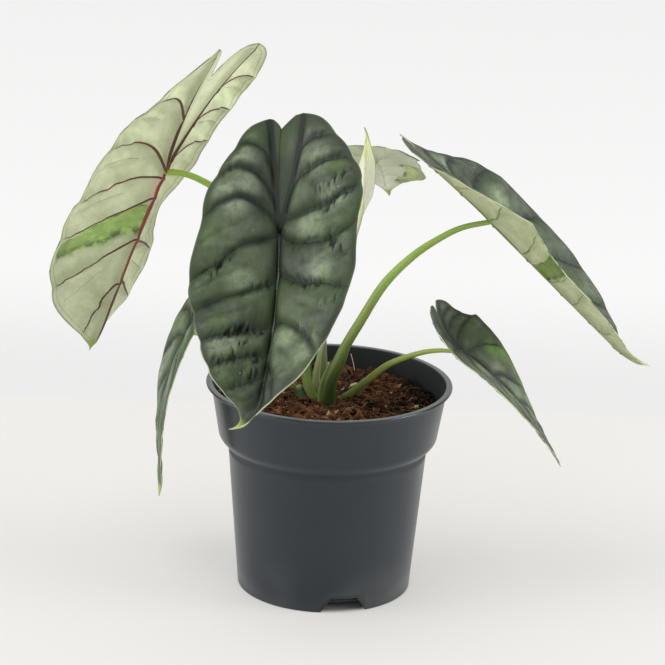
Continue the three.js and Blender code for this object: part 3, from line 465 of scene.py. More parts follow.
class Graph:
    """Builds the nodes of one material from numbers, colours and other nodes' outputs."""

    def __init__(self, name):
        self.material = bpy.data.materials.new(name)
        self.material.use_nodes = True
        self.tree = self.material.node_tree
        self.tree.nodes.clear()
        self.shader = self.tree.nodes.new("ShaderNodeBsdfPrincipled")
        output = self.tree.nodes.new("ShaderNodeOutputMaterial")
        self.tree.links.new(self.shader.outputs[0], output.inputs[0])

    def feed(self, socket, value):
        if isinstance(value, bpy.types.NodeSocket):
            self.tree.links.new(value, socket)
        elif isinstance(value, tuple) and len(value) == 3 and len(socket.default_value) == 4:
            socket.default_value = (*value, 1)
        else:
            socket.default_value = value

    def node(self, kind, inputs, **settings):
        """The outputs of a new node with these inputs and settings."""
        made = self.tree.nodes.new("ShaderNode" + kind)
        for key, value in settings.items():
            setattr(made, key, value)
        for key, value in inputs.items():
            self.feed(made.inputs[key], value)
        return made.outputs

    def finish(self, **sockets):
        """Feeds the shader and gives the finished material."""
        for key, value in sockets.items():
            self.feed(self.shader.inputs[key.replace("_", " ")], value)
        return self.material

    def attributes(self, *names):
        return [self.node("Attribute", {}, attribute_name=name)["Fac"] for name in names]

    def flat(self):
        return self.node("Attribute", {}, attribute_name="flat")["Vector"]

    def objects(self):
        return self.node("TexCoord", {})["Object"]

    def from_axis(self, place):
        """How far a place lies from the pot's axis."""
        level = self.stretch(place, (1, 1, 0))
        return self.node("VectorMath", {0: level, 1: tuple(POT_AXIS)}, operation="DISTANCE")["Value"]

    def stretch(self, vector, scale):
        return self.node("Mapping", {"Vector": vector, "Scale": scale})[0]

    def math(self, operation, a, b=0.0):
        return self.node("Math", {0: a, 1: b}, operation=operation)[0]

    def times(self, value, *factors):
        for factor in factors:
            value = self.math("MULTIPLY", value, factor)
        return value

    def step(self, value, low, high, start=0.0, end=1.0):
        """A soft step from start to end, where the value goes from low to high."""
        inputs = {0: value, 1: low, 2: high, 3: start, 4: end}
        return self.node("MapRange", inputs, interpolation_type="SMOOTHSTEP")[0]

    def mix(self, factor, a, b):
        return self.node("Mix", {0: factor, 6: a, 7: b}, data_type="RGBA")[2]

    def blend(self, factor, a, b):
        """Goes from one screen colour to another."""
        return self.mix(factor, srgb(a), srgb(b))

    def paint(self, colour, *layers):
        """Lays screen colours over a colour, each by its own factor."""
        for factor, shown in layers:
            colour = self.mix(factor, colour, srgb(shown))
        return colour

    def noise(self, vector, scale, detail=3.0, roughness=0.5, distortion=0.0):
        inputs = {"Vector": vector, "Scale": scale, "Detail": detail, "Roughness": roughness}
        return self.node("TexNoise", {**inputs, "Distortion": distortion})["Fac"]

    def cells(self, vector, scale, feature="DISTANCE_TO_EDGE"):
        inputs = {"Vector": vector, "Scale": scale}
        return self.node("TexVoronoi", inputs, feature=feature)["Distance"]

    def bump(self, height, strength, distance, below=None):
        inputs = {"Strength": strength, "Distance": distance, "Height": height}
        if below:
            inputs["Normal"] = below
        return self.node("Bump", inputs)[0]


def srgb(shown):
    """A colour as seen on screen, 0 to 255, in the linear values that materials use."""
    return tuple(((v / 255 + 0.055) / 1.055) ** 2.4 if v > 10 else v / 3294.6 for v in shown)


def shade(shown, share):
    """A screen colour made darker or lighter."""
    return tuple(min(255, v * share) for v in shown)


def upper_face():
    """Olive grey valleys and silver green pillows, with painted highlights on the brightest pillows,
    painted shade in the folds of the puckers and in the grooves of the midrib, and a yellow green drip tip.
    """
    g = Graph("leaf_upper")
    flat = g.flat()
    vein, rib, edge, tip = g.attributes("vein", "rib", "edge", "tip")
    fresh, silver, crease_shade, keel, patch = g.attributes("fresh", "silver", "crease_shade", "keel", "patch")
    blotch, fine = g.noise(flat, 0.22, 4, 0.6, 0.4), g.noise(flat, 0.9, 4, 0.6)
    pillow = g.times(g.step(vein, 0.8, 3.6), g.step(rib, 1.4, 5.5), g.step(edge, 0.5, 4))
    seam = g.times(g.step(vein, 0.9, 0.1), g.step(edge, 0.6, 4.0), 0.7)
    specks = g.cells(flat, 0.13, "F1")
    colour = g.paint(
        srgb((43, 49, 41)),
        # Silver on the pillows: the leaf's own silver, and painted highlight at the brightest pillows.
        (g.times(pillow, silver, g.step(blotch, 0.3, 0.6, 0.55, 1.0)), (134, 146, 122)),
        (g.times(fresh, g.step(vein, -1.0, 2.0)), (102, 136, 56)),
        (g.step(fine, 0.35, 0.75, 0.0, 0.2), (44, 54, 42)),
        # Dark side veins, and painted shade in the folds of the puckers.
        (g.math("MAXIMUM", seam, g.times(crease_shade, 0.85)), (22, 28, 24)),
        # The midrib's dark grooves: its own dark green, deepened with painted shade in the grooves.
        (g.times(g.step(rib, 2.4, 1.5), g.step(tip, 0.97, 0.75), 0.85), (20, 26, 22)),
        (g.times(g.step(rib, 1.0, 0.55), keel), (72, 80, 68)),
        # A broken pale line on the midrib's crest: its own pale colour with painted highlight.
        (g.times(g.step(rib, 0.4, 0.15), g.step(fine, 0.5, 0.62, 0.1, 1.0), keel), (150, 160, 140)),
        (g.times(g.step(edge, 0.6, 0.2), g.step(tip, 0.45, 0.7, 0.15, 0.85)), (176, 186, 158)),
        (g.times(patch, 0.45), (88, 118, 62)),
        (g.step(tip, 0.9, 0.96), (150, 170, 84)),
        (g.step(specks, 0.04, 0.02, 0.0, 0.7), (206, 210, 200)),
    )
    return g.finish(Base_Color=colour, Specular_IOR_Level=0.3,
                    Roughness=g.step(fine, 0.3, 0.7, 0.4, 0.52),
                    Normal=g.bump(g.noise(flat, 1.6, 4, 0.6), 0.4, 0.0006))


def lower_face(name, base, veins, hind_ribs, midrib, border, patch, blush):
    """Pale underside with raised veins, a thin vein inside the margin and a faint fine net, with painted
    shade near the veins, along the ribs and at the edges of the green patch.
    """
    g = Graph(name)
    flat = g.flat()
    vein, minor, rib, edge, tip = g.attributes("vein", "minor", "rib", "edge", "tip")
    across, ink, greener, bold = g.attributes("across", "ink", "patch", "bold")
    tone = g.noise(flat, 0.07, 3, 0.55)
    # The green patch goes darker towards its edges and its outer end: painted shade.
    green = g.paint(
        g.blend(g.step(greener, 0.3, 1.0), shade(patch, 0.5), patch),
        (g.step(g.noise(flat, 0.14, 3, 0.6), 0.4, 0.65), shade(patch, 1.12)),
        (g.step(across, 0.76, 0.86, 0.0, 0.4), shade(patch, 0.6)),
    )
    rosy = g.times(g.step(rib, 5.0, 1.0, 0.0, 0.6), g.step(tip, -0.02, 0.03), g.step(tip, 0.45, 0.1))
    colour = g.paint(
        g.blend(g.step(tone, 0.35, 0.7), base, tuple(v - 18 for v in base)),
        (g.times(g.step(g.cells(flat, 0.28), 0.06, 0.0), 0.14), (132, 142, 100)),
        # Painted shade: darker near the veins and along the ribs, where the pillows dip.
        (g.times(g.step(vein, 6.0, 0.4), g.step(tone, 0.3, 0.6, 0.15, 0.5), ink), (146, 156, 112)),
        (g.times(g.step(rib, 5.0, 0.6, 0.0, 0.45), ink), (138, 146, 108)),
        (g.times(rosy, ink), blush),
    )
    colour = g.mix(g.step(greener, 0.0, 0.5), colour, green)
    vein_width = g.math("SUBTRACT", 0.6, g.times(across, 0.3))
    on_vein = g.step(g.math("DIVIDE", vein, vein_width), 1.15, 0.75)
    inner_line = g.step(g.math("ABSOLUTE", g.math("SUBTRACT", edge, 2.4)), 0.36, 0.1, 0.0, 0.3)
    colour = g.paint(
        colour,
        (g.times(on_vein, g.step(edge, 1.2, 3.0, 0.35, 1.0), ink), veins),
        (g.times(g.step(minor, 0.36, 0.14, 0.0, 0.5), ink), veins),
        (g.times(inner_line, ink), veins),
    )
    rib_width = g.times(g.step(tip, -0.6, 0.02, 0.2, 1.0), g.step(tip, 0.05, 0.8, 1.0, 0.3), bold)
    on_rib = g.step(g.math("DIVIDE", rib, rib_width), 1.15, 0.75)
    rib_colour = g.blend(g.step(tip, -0.06, 0.02), hind_ribs, midrib)
    rib_colour = g.paint(rib_colour, (g.step(tip, 0.5, 0.72), veins))
    colour = g.paint(
        g.mix(g.times(on_rib, g.step(ink, 0.0, 0.6, 0.1, 1.0)), colour, rib_colour),
        (g.step(edge, 1.0, 0.3, 0.0, 0.6), border),
        (g.step(tip, 0.9, 0.95), (150, 172, 96)),
    )
    return g.finish(Base_Color=colour, Roughness=0.55, Specular_IOR_Level=0.3,
                    Normal=g.bump(g.noise(flat, 1.2, 4, 0.6), 0.2, 0.0005))


def rim_face():
    """A pale green edge with darker stretches."""
    g = Graph("leaf_rim")
    tone = g.step(g.noise(g.flat(), 0.12, 2, 0.5), 0.46, 0.64)
    return g.finish(Base_Color=g.blend(tone, (186, 194, 152), (96, 102, 82)), Roughness=0.5)


def young_face():
    """Cream, yellow green at its tip, with a thin dark line along its rolled edge."""
    g = Graph("young_leaf")
    flat = g.flat()
    vein, edge, tip = g.attributes("vein", "edge", "tip")
    colour = g.paint(
        g.blend(g.step(tip, 0.35, 0.95), (246, 247, 226), (224, 238, 142)),
        (g.step(g.noise(flat, 0.25, 3), 0.4, 0.7, 0.0, 0.3), (218, 224, 184)),
        (g.step(vein, 0.5, 0.1, 0.0, 0.18), (160, 174, 116)),
        (g.step(edge, 0.6, 0.15, 0.0, 0.75), (96, 92, 70)),
    )
    return g.finish(Base_Color=colour, Roughness=0.5, Specular_IOR_Level=0.35,
                    Normal=g.bump(g.noise(flat, 2.0, 3), 0.15, 0.0004))


def stalk_face(name, low, high, channel):
    """A stalk that goes from its base colour to its top colour, darker at the base on most stalks,
    with fine lengthwise lines and painted shade along the front of its base, where its channel lies."""
    g = Graph(name)
    along, front = g.attributes("along", "front")
    lines = g.noise(g.flat(), 1.0, 4, 0.6)
    colour = g.paint(
        g.blend(g.step(along, 0.08, 0.75), low, high),
        (g.step(lines, 0.4, 0.7, 0.0, 0.3), tuple(min(255, v + 30) for v in high)),
        (g.step(lines, 0.5, 0.25, 0.0, 0.35), shade(low, 0.62)),
        # Painted shade along the front of the base, where the stalk's channel lies.
        (g.times(g.step(front, 0.55, 0.9), g.step(along, 0.5, 0.1, 0.0, channel)), shade(low, 0.5)),
    )
    return g.finish(Base_Color=colour, Roughness=0.42, Specular_IOR_Level=0.4,
                    Normal=g.bump(lines, 0.25, 0.0003))


def crown_face():
    """Deep green sheaths that end in paler torn edges."""
    g = Graph("crown_green")
    along, pale = g.attributes("along", "front")
    lines = g.noise(g.flat(), 1.4, 4, 0.6)
    colour = g.paint(
        g.blend(g.step(lines, 0.3, 0.7), (48, 66, 38), (74, 94, 52)),
        (g.step(along, 0.86, 0.99), (140, 150, 100)),
        (pale, (118, 138, 78)),
    )
    return g.finish(Base_Color=colour, Roughness=0.5, Specular_IOR_Level=0.35,
                    Normal=g.bump(lines, 0.3, 0.0004))


def inner_wall(g, place, height):
    """1 on the inner face of the pot's collar and 0 on its outer face and below the ledge."""
    slope = (COLLAR_TOP[0] - COLLAR_FOOT[0]) / (COLLAR_TOP[1] - COLLAR_FOOT[1])
    foot = COLLAR_FOOT[1] * MM
    core = g.math("ADD", g.times(g.math("SUBTRACT", height, foot), slope),
                  (COLLAR_FOOT[0] - WALL / 2) * MM)
    within = g.step(g.math("SUBTRACT", g.from_axis(place), core), 0.3 * MM, -0.3 * MM)
    return g.times(within, g.step(height, foot + 2 * MM, foot + 4 * MM))


def pot_plastic():
    """Slate grey moulded plastic: satin, faintly grained, duller inside and at the ledge, darker
    inside with painted shade, with a painted highlight along its lip and a dusty foot."""
    g = Graph("pot_plastic")
    place = g.objects()
    cloud = g.noise(place, 22, 3, 0.5)
    height = g.node("SeparateXYZ", {0: place})[2]
    inside = inner_wall(g, place, height)
    # Painted highlight along the top of the lip.
    lip_highlight = g.step(height, (POT_HEIGHT - 0.35) * MM, (POT_HEIGHT - 0.05) * MM, 0.0, 0.5)
    colour = g.paint(
        g.blend(g.step(cloud, 0.3, 0.7), (18, 22, 27), (23, 27, 32)),
        (g.times(g.step(height, 0.03, 0.0), g.step(cloud, 0.4, 0.7), 0.12), (140, 136, 128)),
        (lip_highlight, (128, 130, 130)),
        # Painted shade on the inner face of the collar.
        (inside, (11, 12, 14)),
    )
    from_ledge = g.math("ABSOLUTE", g.math("SUBTRACT", height, BODY_TOP[1] * MM))
    dull = g.math("MAXIMUM", inside, g.step(from_ledge, 4 * MM, 1 * MM))
    drawn = g.noise(g.stretch(place, (1, 1, 0.02)), 260, 2, 0.5)
    return g.finish(
        Base_Color=colour, Specular_IOR_Level=0.65, Specular_Tint=(0.84, 0.92, 1.0),
        Roughness=g.math("ADD", g.step(cloud, 0.3, 0.7, 0.28, 0.34), g.times(dull, 0.3)),
        Normal=g.bump(g.noise(place, 1400, 2, 0.5), 0.12, 0.00008, g.bump(drawn, 0.1, 0.0002)))


def coir():
    """Loose coir and bark: each crumb has its own red brown, from nearly black to orange. Tones
    above 1 are the few cream, yellow and green bits."""
    g = Graph("coir")
    (tone,) = g.attributes("tone")
    place = g.objects()
    odd = ((CREAM, (216, 200, 166)), (YELLOW, (196, 176, 92)), (GREEN, (128, 140, 62)))
    colour = g.paint(
        g.blend(g.step(tone, 0.0, 0.4), (21, 14, 10), (94, 62, 43)),
        (g.step(tone, 0.4, 0.75), (166, 114, 78)),
        (g.step(tone, 0.8, 1.0), (220, 176, 134)),
        (g.step(g.noise(place, 700, 4, 0.6), 0.3, 0.7, 0.0, 0.5), (50, 26, 17)),
        *((g.step(tone, low - 0.15, low - 0.05), shown) for low, shown in odd),
    )
    return g.finish(Base_Color=colour, Roughness=0.85, Specular_IOR_Level=0.2,
                    Normal=g.bump(g.noise(place, 1800, 4, 0.65), 0.6, 0.0006))


def plain_stage(name, low, high, glow):
    """A plain pale sheet that glows a little, so its shadows stay soft, but not under the pot."""
    g = Graph(name)
    place = g.objects()
    under = g.step(g.from_axis(place), FOOT_RADIUS * MM * 1.04, FOOT_RADIUS * MM * 0.9)
    # Painted light: on the backdrop the farther colour is lighter, to even out the light falling off there.
    back = g.step(g.node("SeparateXYZ", {0: place})[1], 0.3, 0.55)
    return g.finish(Base_Color=g.blend(back, low, high), Roughness=0.8, Specular_IOR_Level=0.1,
                    Emission_Color=g.mix(under, (1, 1, 1), (0, 0, 0)), Emission_Strength=glow)


# Blades: a flat drawing with s along the midrib and t across it, then bent in space.

def tip_share(share):
    """How far into the blade's tip each share of its length lies."""
    return np.clip((share - TIP_FROM) / (1 - TIP_FROM), 0, 1)


def midrib_rail(leaf, fore):
    """Stations, places and directions along the midrib from the junction to one end."""
    reach = leaf["length"] if fore else -leaf["lobes"]
    s = np.linspace(0, reach, RAIL_STEPS + 1)
    share = np.linspace(0, 1 if fore else -1, RAIL_STEPS + 1)
    tip = tip_share(share)
    dip = np.radians(leaf["dip"] + leaf["droop" if fore else "back"] * share + leaf["tip_lift"] * tip)
    heading = leaf["heading"] + leaf["sway" if fore else "bank"] * share + leaf["tip_sway"] * tip
    heading = np.radians(heading)
    roll = np.radians(leaf["roll"] + leaf["twist"] * share + leaf["tip_roll"] * tip)[:, None]
    along = np.stack([np.cos(dip) * np.cos(heading), np.cos(dip) * np.sin(heading), -np.sin(dip)], -1)
    level = np.stack([np.sin(dip) * np.cos(heading), np.sin(dip) * np.sin(heading), np.cos(dip)], -1)
    up = level * np.cos(roll) + np.cross(level, along) * np.sin(roll)
    steps = (along[1:] + along[:-1]) / 2 * (reach / RAIL_STEPS)
    place = np.array(leaf["junction"], float) + np.vstack([np.zeros(3), np.cumsum(steps, 0)])
    return s, place, up, np.cross(up, along)


def fold_angle(leaf, side, reach, hind):
    """How far a half is folded up from the midrib at shares of the fore and hind parts."""
    fold = leaf["fold"][side] + leaf["fold_fore"][side] * reach + leaf["fold_back"][side] * hind
    return np.radians(fold + leaf["fold_tip"][side] * tip_share(reach))


def bend(leaf, side, t, s, rise):
    """Carries flat points of one half into space, raised along the blade's normal."""
    back, fore = midrib_rail(leaf, False), midrib_rail(leaf, True)
    rail = [np.concatenate([b[:0:-1], f]) for b, f in zip(back, fore)]
    place, up, across = (
        np.stack([np.interp(s, rail[0], track[:, i]) for i in range(3)], -1) for track in rail[1:])
    sign = 1 if side == 0 else -1
    reach, hind = np.clip(s / leaf["length"], 0, 1), np.clip(-s / leaf["lobes"], 0, 1)
    fold = fold_angle(leaf, side, reach, hind)
    seam = (fold + fold_angle(leaf, 1 - side, reach, hind)) / 2
    rate = math.radians(leaf["curl"][side] or LEAST_CURL) / leaf["half"][side]
    angle = fold + rate * t
    out = ((np.sin(angle) - np.sin(fold)) / rate)[:, None]
    lift = ((np.cos(fold) - np.cos(angle)) / rate)[:, None]
    normal = up * np.cos(angle)[:, None] - across * (sign * np.sin(angle))[:, None]
    rounding = np.tan(seam) * np.clip(1 - t / WEDGE_ROUND, 0, 1) ** 2 * smooth(-s, 0, 8)
    lift += (WEDGE_ROUND / 2 * rounding)[:, None]
    return place + across * sign * out + up * lift + normal * rise[:, None]


def to_mm(leaf, station):
    """Stations as millimetres along the midrib, negative in the hind lobes."""
    station = np.asarray(station, float)
    return np.where(station < 0, station * leaf["lobes"], station * leaf["length"])


def blade_outline(leaf, side):
    """The inner edge of the hind lobe and the outer edge of one half, as (t, s) curves."""
    half = leaf["half"][side]
    lobe = leaf["lobe"][side] * half
    points = [(0, -leaf["sinus"] * leaf["lobes"]),
              (0.4 * lobe, -(1 - 0.32 * (1 - leaf["sinus"])) * leaf["lobes"]),
              (lobe, -leaf["lobes"])]
    points += [(w, float(to_mm(leaf, k))) for w, k in zip(leaf["widths"][side], STATIONS)]
    points += [(TIP_STATION[1] * half, TIP_STATION[0] * leaf["length"]), (0, leaf["length"])]
    curve = spline(points, MARGIN_STEPS)
    return curve[:2 * MARGIN_STEPS + 1][::-1], curve[2 * MARGIN_STEPS:]


def rib_point(leaf, side, station):
    """Points of a half's spine: the hind rib for negative stations, the midrib for the others."""
    spread = leaf["lobe"][side] * leaf["half"][side]
    hind = np.minimum(station, 0)
    return np.stack([spread * (1 - (1 + hind) ** leaf["bow"][side]), to_mm(leaf, station)], -1)


def vein_table(leaf, side):
    """A half's side veins, between the ends of its hind rib and its midrib."""
    return np.array([(-1, -1, -1), *leaf["veins"][side], (1, 1, 1)], float)


def half_rows(leaf, side, stations, shares):
    """Flat points on rows from the spine to the margin that follow the side veins."""
    table = vein_table(leaf, side)
    number = np.interp(stations, table[:, 0], np.arange(len(table)))
    middle = np.interp(number, np.arange(len(table)), to_mm(leaf, table[:, 1]))
    end = np.interp(number, np.arange(len(table)), to_mm(leaf, table[:, 2]))
    _, outer = blade_outline(leaf, side)
    start = rib_point(leaf, side, stations)
    width = np.interp(end, outer[:, 1], outer[:, 0])
    scallop = leaf["scallop"] * (0.5 + 0.5 * np.cos(2 * math.pi * number)) ** 2 * smooth(width, 4, 14)
    stop = np.stack([width - scallop, end], -1)
    control = 2 * middle - (start[:, 1] + stop[:, 1]) / 2
    q = shares[None, :]
    t = start[:, :1] * (1 - q) + stop[:, :1] * q
    s = start[:, 1:] * (1 - q) ** 2 + 2 * q * (1 - q) * control[:, None] + stop[:, 1:] * q**2
    return np.stack([t, s], -1), number


def wedge_rows(leaf, side, stations, shares):
    """Flat points between a hind rib and the line from the junction back to the notch."""
    inner, _ = blade_outline(leaf, side)
    start = rib_point(leaf, side, stations)
    depth = -stations[:, None]
    middle = np.concatenate([0 * depth, -leaf["sinus"] * leaf["lobes"] * depth], -1)
    place = np.linspace(0, 1, len(inner))
    edge = np.stack([np.interp(shares, place, inner[:, i]) for i in (0, 1)], -1)
    bulge = edge - (inner[0] * (1 - shares[:, None]) + inner[-1] * shares[:, None])
    rows = start[:, None] * (1 - shares[None, :, None]) + middle[:, None] * shares[None, :, None]
    return rows + bulge[None] * depth[:, :, None] ** 3


def row_stations(leaf):
    """Spine stations shared by both halves, close enough that margin cells stay small."""
    tables = [vein_table(leaf, side) for side in (0, 1)]
    knots = sorted({0.0, *(float(v) for table in tables for v in table[:, 0])})
    stations = [knots[0]]
    for low, high in zip(knots, knots[1:]):
        ends = [(low, high)]
        for table in tables:
            ends += [np.interp((low, high), table[:, 0], table[:, column]) for column in (1, 2)]
        longest = max(float(np.ptp(to_mm(leaf, pair))) for pair in ends)
        count = max(2, math.ceil(longest / CELL))
        stations += list(np.linspace(low, high, count + 1)[1:])
    return np.array(stations)


def vein_curves(leaf, side):
    """Dense flat points on the side veins, on the short veins between them and on the spine."""
    table = vein_table(leaf, side)
    shares = np.linspace(0, 0.97, 160)
    main, _ = half_rows(leaf, side, table[1:-1, 0], shares)
    between = (table[1:-2, 0] + table[2:-1, 0]) / 2
    short, _ = half_rows(leaf, side, between, np.linspace(0.4, 0.9, 90))
    spine = rib_point(leaf, side, np.concatenate([np.linspace(-1, 0, 300), np.linspace(0, 1, 500)]))
    return main.reshape(-1, 2), short.reshape(-1, 2), spine


def to_segment(points, start, end):
    """Each point's distance to a straight line between two places."""
    start, along = np.array(start, float), np.array(end, float) - np.array(start, float)
    share = np.clip((points - start) @ along / (along @ along), 0, 1)[:, None]
    return np.linalg.norm(points - start - share * along, axis=1)


def flat_noise(found, size, seed):
    """Smooth noise over the flat drawing with features of this size."""
    return value_noise(found["flat"][:, 0] / size, found["flat"][:, 1] / size, seed)


def relief(leaf, found, reach, seed):
    """Pillow height: sunk along every vein, wrinkled across the veins and waved at the margin."""
    t, s = found["flat"][:, 0], found["flat"][:, 1]
    vein, minor, rib, edge, across = (found[key] for key in ("vein", "minor", "rib", "edge", "across"))
    scale, half = leaf["pillow"], leaf["half"][0]
    room = np.clip(np.minimum(rib + edge, half) / (0.5 * half), 0, 1)
    height = scale * room * (1 - np.exp(-((vein / VEIN_VALLEY) ** 1.4)))
    height *= (1 - np.exp(-((rib / RIB_VALLEY) ** 1.5))) * smooth(edge, -2, 6)
    height -= 0.28 * scale * np.exp(-((minor / MINOR_VALLEY) ** 2)) * room
    height += 0.2 * scale * flat_noise(found, 7, seed) * room * smooth(rib, 1, 7)
    bubbles = value_noise(t / 3.6, s / 3.0, seed + 7) * smooth(across, 0.25, 0.7)
    height += 0.2 * scale * bubbles * room * smooth(edge, 0.5, 5)
    strong = 0.25 + 0.75 * smooth(flat_noise(found, 12, seed + 9), -0.3, 0.4)
    strong *= 0.15 + np.exp(-((vein / 2.8) ** 2))
    for first, last in leaf["puckers"]:
        away = to_segment(found["flat"][:, :2], first, last) / PUCKER_REACH
        strong += 2.4 * np.exp(-(away**2))
    wrinkle = value_noise(reach / 1.1, found["panel"] * 5.5, seed + 5)
    folds = leaf["wrinkle"] * wrinkle * strong * smooth(rib, 1.5, 6) * smooth(edge, 0.5, 4)
    # How deep each fold sinks, used for painted shade in the folds.
    found["crease_shade"] = np.clip(-folds / CREASE_DEPTH, 0, 1)
    found["raised"] = smooth((height + folds) / scale, 0.15, 1.15)
    wave = value_noise(s / 15, 0 * s + 3.5, seed + 2)
    return height + folds + leaf["wave"] * wave * across**3 * room


def measure(leaf, side, grid, number, shares, curves, seed):
    """Distances and shares at each point of a grid; the wedge between the hind ribs has no number."""
    main, short, spine, margin = curves
    rows, columns = grid.shape[:2]
    flat = grid.reshape(-1, 2)
    count = len(flat)
    sign = 1 if side == 0 else -1
    found = {"rib": nearest(flat, spine), "edge": nearest(flat, margin), "side": np.full(count, side),
             "flat": np.stack([sign * flat[:, 0], flat[:, 1], np.zeros(count)], -1)}
    warp = np.stack([value_noise(flat[:, 0] / 9, flat[:, 1] / 9, seed + k) for k in (20, 21)], -1)
    warped = flat + leaf["warp"] * warp * smooth(found["rib"], 0, 4)[:, None]
    found.update(vein=nearest(warped, main), minor=nearest(warped, short))
    if number is None:
        found["vein"] += NO_VEIN
        found["minor"] += NO_VEIN
        for key, value in (("across", 0.3), ("panel", -1.0), ("crease_shade", 0.0), ("raised", 0.0)):
            found[key] = np.full(count, value)
        height = 0.25 * leaf["pillow"] * smooth(found["rib"], 0.5, 5)
    else:
        found.update(across=np.tile(shares, rows), panel=np.repeat(number, columns))
        reach = np.linalg.norm(grid - grid[:, :1], axis=2).ravel()
        height = relief(leaf, found, reach, seed)
    found["place"] = bend(leaf, side, flat[:, 0], flat[:, 1], height)
    return found


def grid_faces(rows, columns, start, forward):
    """Quads of an open grid, whose corners run one way round or the other."""
    faces = []
    for i in range(rows - 1):
        for j in range(columns - 1):
            a, b = start + i * columns + j, start + (i + 1) * columns + j
            faces.append((a, b, b + 1, a + 1) if forward else (a, a + 1, b + 1, b))
    return faces


def blade_sheet(leaf, seed):
    """The blade's middle sheet: what is known at each of its points, and its quads."""
    stations = row_stations(leaf)
    shares = np.linspace(0, 1, leaf["columns"] + 1) ** COLUMN_EASE
    blocks, faces, start = [], [], 0
    curves = [vein_curves(leaf, side) for side in (0, 1)]
    for side in (0, 1):
        outer, number = half_rows(leaf, side, stations, shares)
        wedge = wedge_rows(leaf, side, stations[stations <= 0], np.linspace(0, 1, WEDGE_COLUMNS))
        inner_edge, _ = blade_outline(leaf, side)
        margin = np.vstack([spline(inner_edge[::4], 12), spline(outer[:, -1], 3)])
        main, short, spine = curves[side]
        both_spines = np.vstack([spine, curves[1 - side][2] * (-1, 1)])
        for grid, numbers, ribs in ((outer, number, spine), (wedge, None, both_spines)):
            known = (main, short, ribs, margin)
            blocks.append(measure(leaf, side, grid, numbers, shares, known, seed))
            rows, columns = grid.shape[:2]
            faces += grid_faces(rows, columns, start, (numbers is None) == (side == 1))
            start += rows * columns
    return {key: np.concatenate([block[key] for block in blocks]) for key in blocks[0]}, faces


def weld(drawn, faces):
    """Merges points that lie on one another in the flat drawing and drops collapsed corners."""
    keys = np.round(drawn[:, :2] * WELD_PER_MM).astype(int)
    _, first, inverse = np.unique(keys, axis=0, return_index=True, return_inverse=True)
    inverse = inverse.ravel()
    kept = []
    for face in faces:
        corners = [int(inverse[i]) for i in face]
        corners = [c for k, c in enumerate(corners) if c != corners[k - 1]]
        if len(set(corners)) >= 3:
            kept.append(tuple(corners))
    return first, kept


def sheet_normals(points, faces):
    """Each point's normal, averaged over the faces around it."""
    normals = np.zeros_like(points)
    for size in (3, 4):
        group = np.array([face for face in faces if len(face) == size])
        if len(group):
            a, b, c, d = (points[group[:, k]] for k in (0, 1, 2, -1))
            cross = np.cross(b - a, c - a) if size == 3 else np.cross(c - a, d - b)
            for k in range(size):
                np.add.at(normals, group[:, k], cross)
    return normals / np.maximum(np.linalg.norm(normals, axis=1), 1e-9)[:, None]


def patch_map(leaf, found, seed):
    """A greener panel of one half, between two of its side veins."""
    if "patch" not in leaf:
        return np.zeros(len(found["rib"]))
    which, low, high, near, far, narrowing = leaf["patch"]
    table = vein_table(leaf, which)
    rows = np.interp((low, high), table[:, 0], np.arange(len(table)))
    across, wander = found["across"], 0.06 * flat_noise(found, 8, seed + 40)
    panel = found["panel"] + wander
    ending = rows[1] - narrowing * across
    between = smooth(panel, rows[0] + 0.02, rows[0] + 0.2) * smooth(ending - panel, 0.02, 0.5)
    along = smooth(across + wander, near, near + 0.2) * smooth(-across, -far, -far + 0.06)
    return between * along * (found["side"] == which)


def spot(found, t, s, reach):
    """1 at a place of the flat drawing, falling softly to nothing around it."""
    away = np.hypot(found["flat"][:, 0] - t, found["flat"][:, 1] - s) / reach
    return np.exp(-(away**2))


def silver_and_highlight_map(leaf, found, seed):
    """How silvery the pillows are: the leaf's own level, and more at its brightest places, where the silver
    is painted highlight.
    """
    raised = found["raised"]
    level = leaf["silver"] * (1 + 0.7 * flat_noise(found, 11, seed + 50)) * (0.3 + 0.7 * raised)
    for t, s in leaf["bright"]:
        shine = leaf["shine"] * spot(found, t, s, HIGHLIGHT_REACH)
        level = np.maximum(level, shine * (0.75 + 0.25 * raised))
    return np.clip(level, 0, 1) * np.where(found["panel"] >= 0, 1.0, WEDGE_SILVER)


def fresh_map(leaf, found, seed):
    """How much fresh green shows through the grey, most at the leaf's green places."""
    level = leaf["fresh"] * np.clip(0.9 + flat_noise(found, 16, seed + 60), 0, 1.6)
    for t, s, strength in leaf["green"]:
        level = np.maximum(level, strength * spot(found, t, s, GREEN_REACH))
    return level


def vein_keel(leaf, found):
    """How far the midrib, the hind ribs and the veins stand out below."""
    keel = RIB_KEEL * np.exp(-((found["rib"] / RIB_KEEL_WIDTH) ** 2))
    keel += VEIN_KEEL * np.exp(-((found["vein"] / VEIN_KEEL_WIDTH) ** 2))
    return keel * leaf["length"] / 110 * smooth(found["edge"], 0.5, 4)


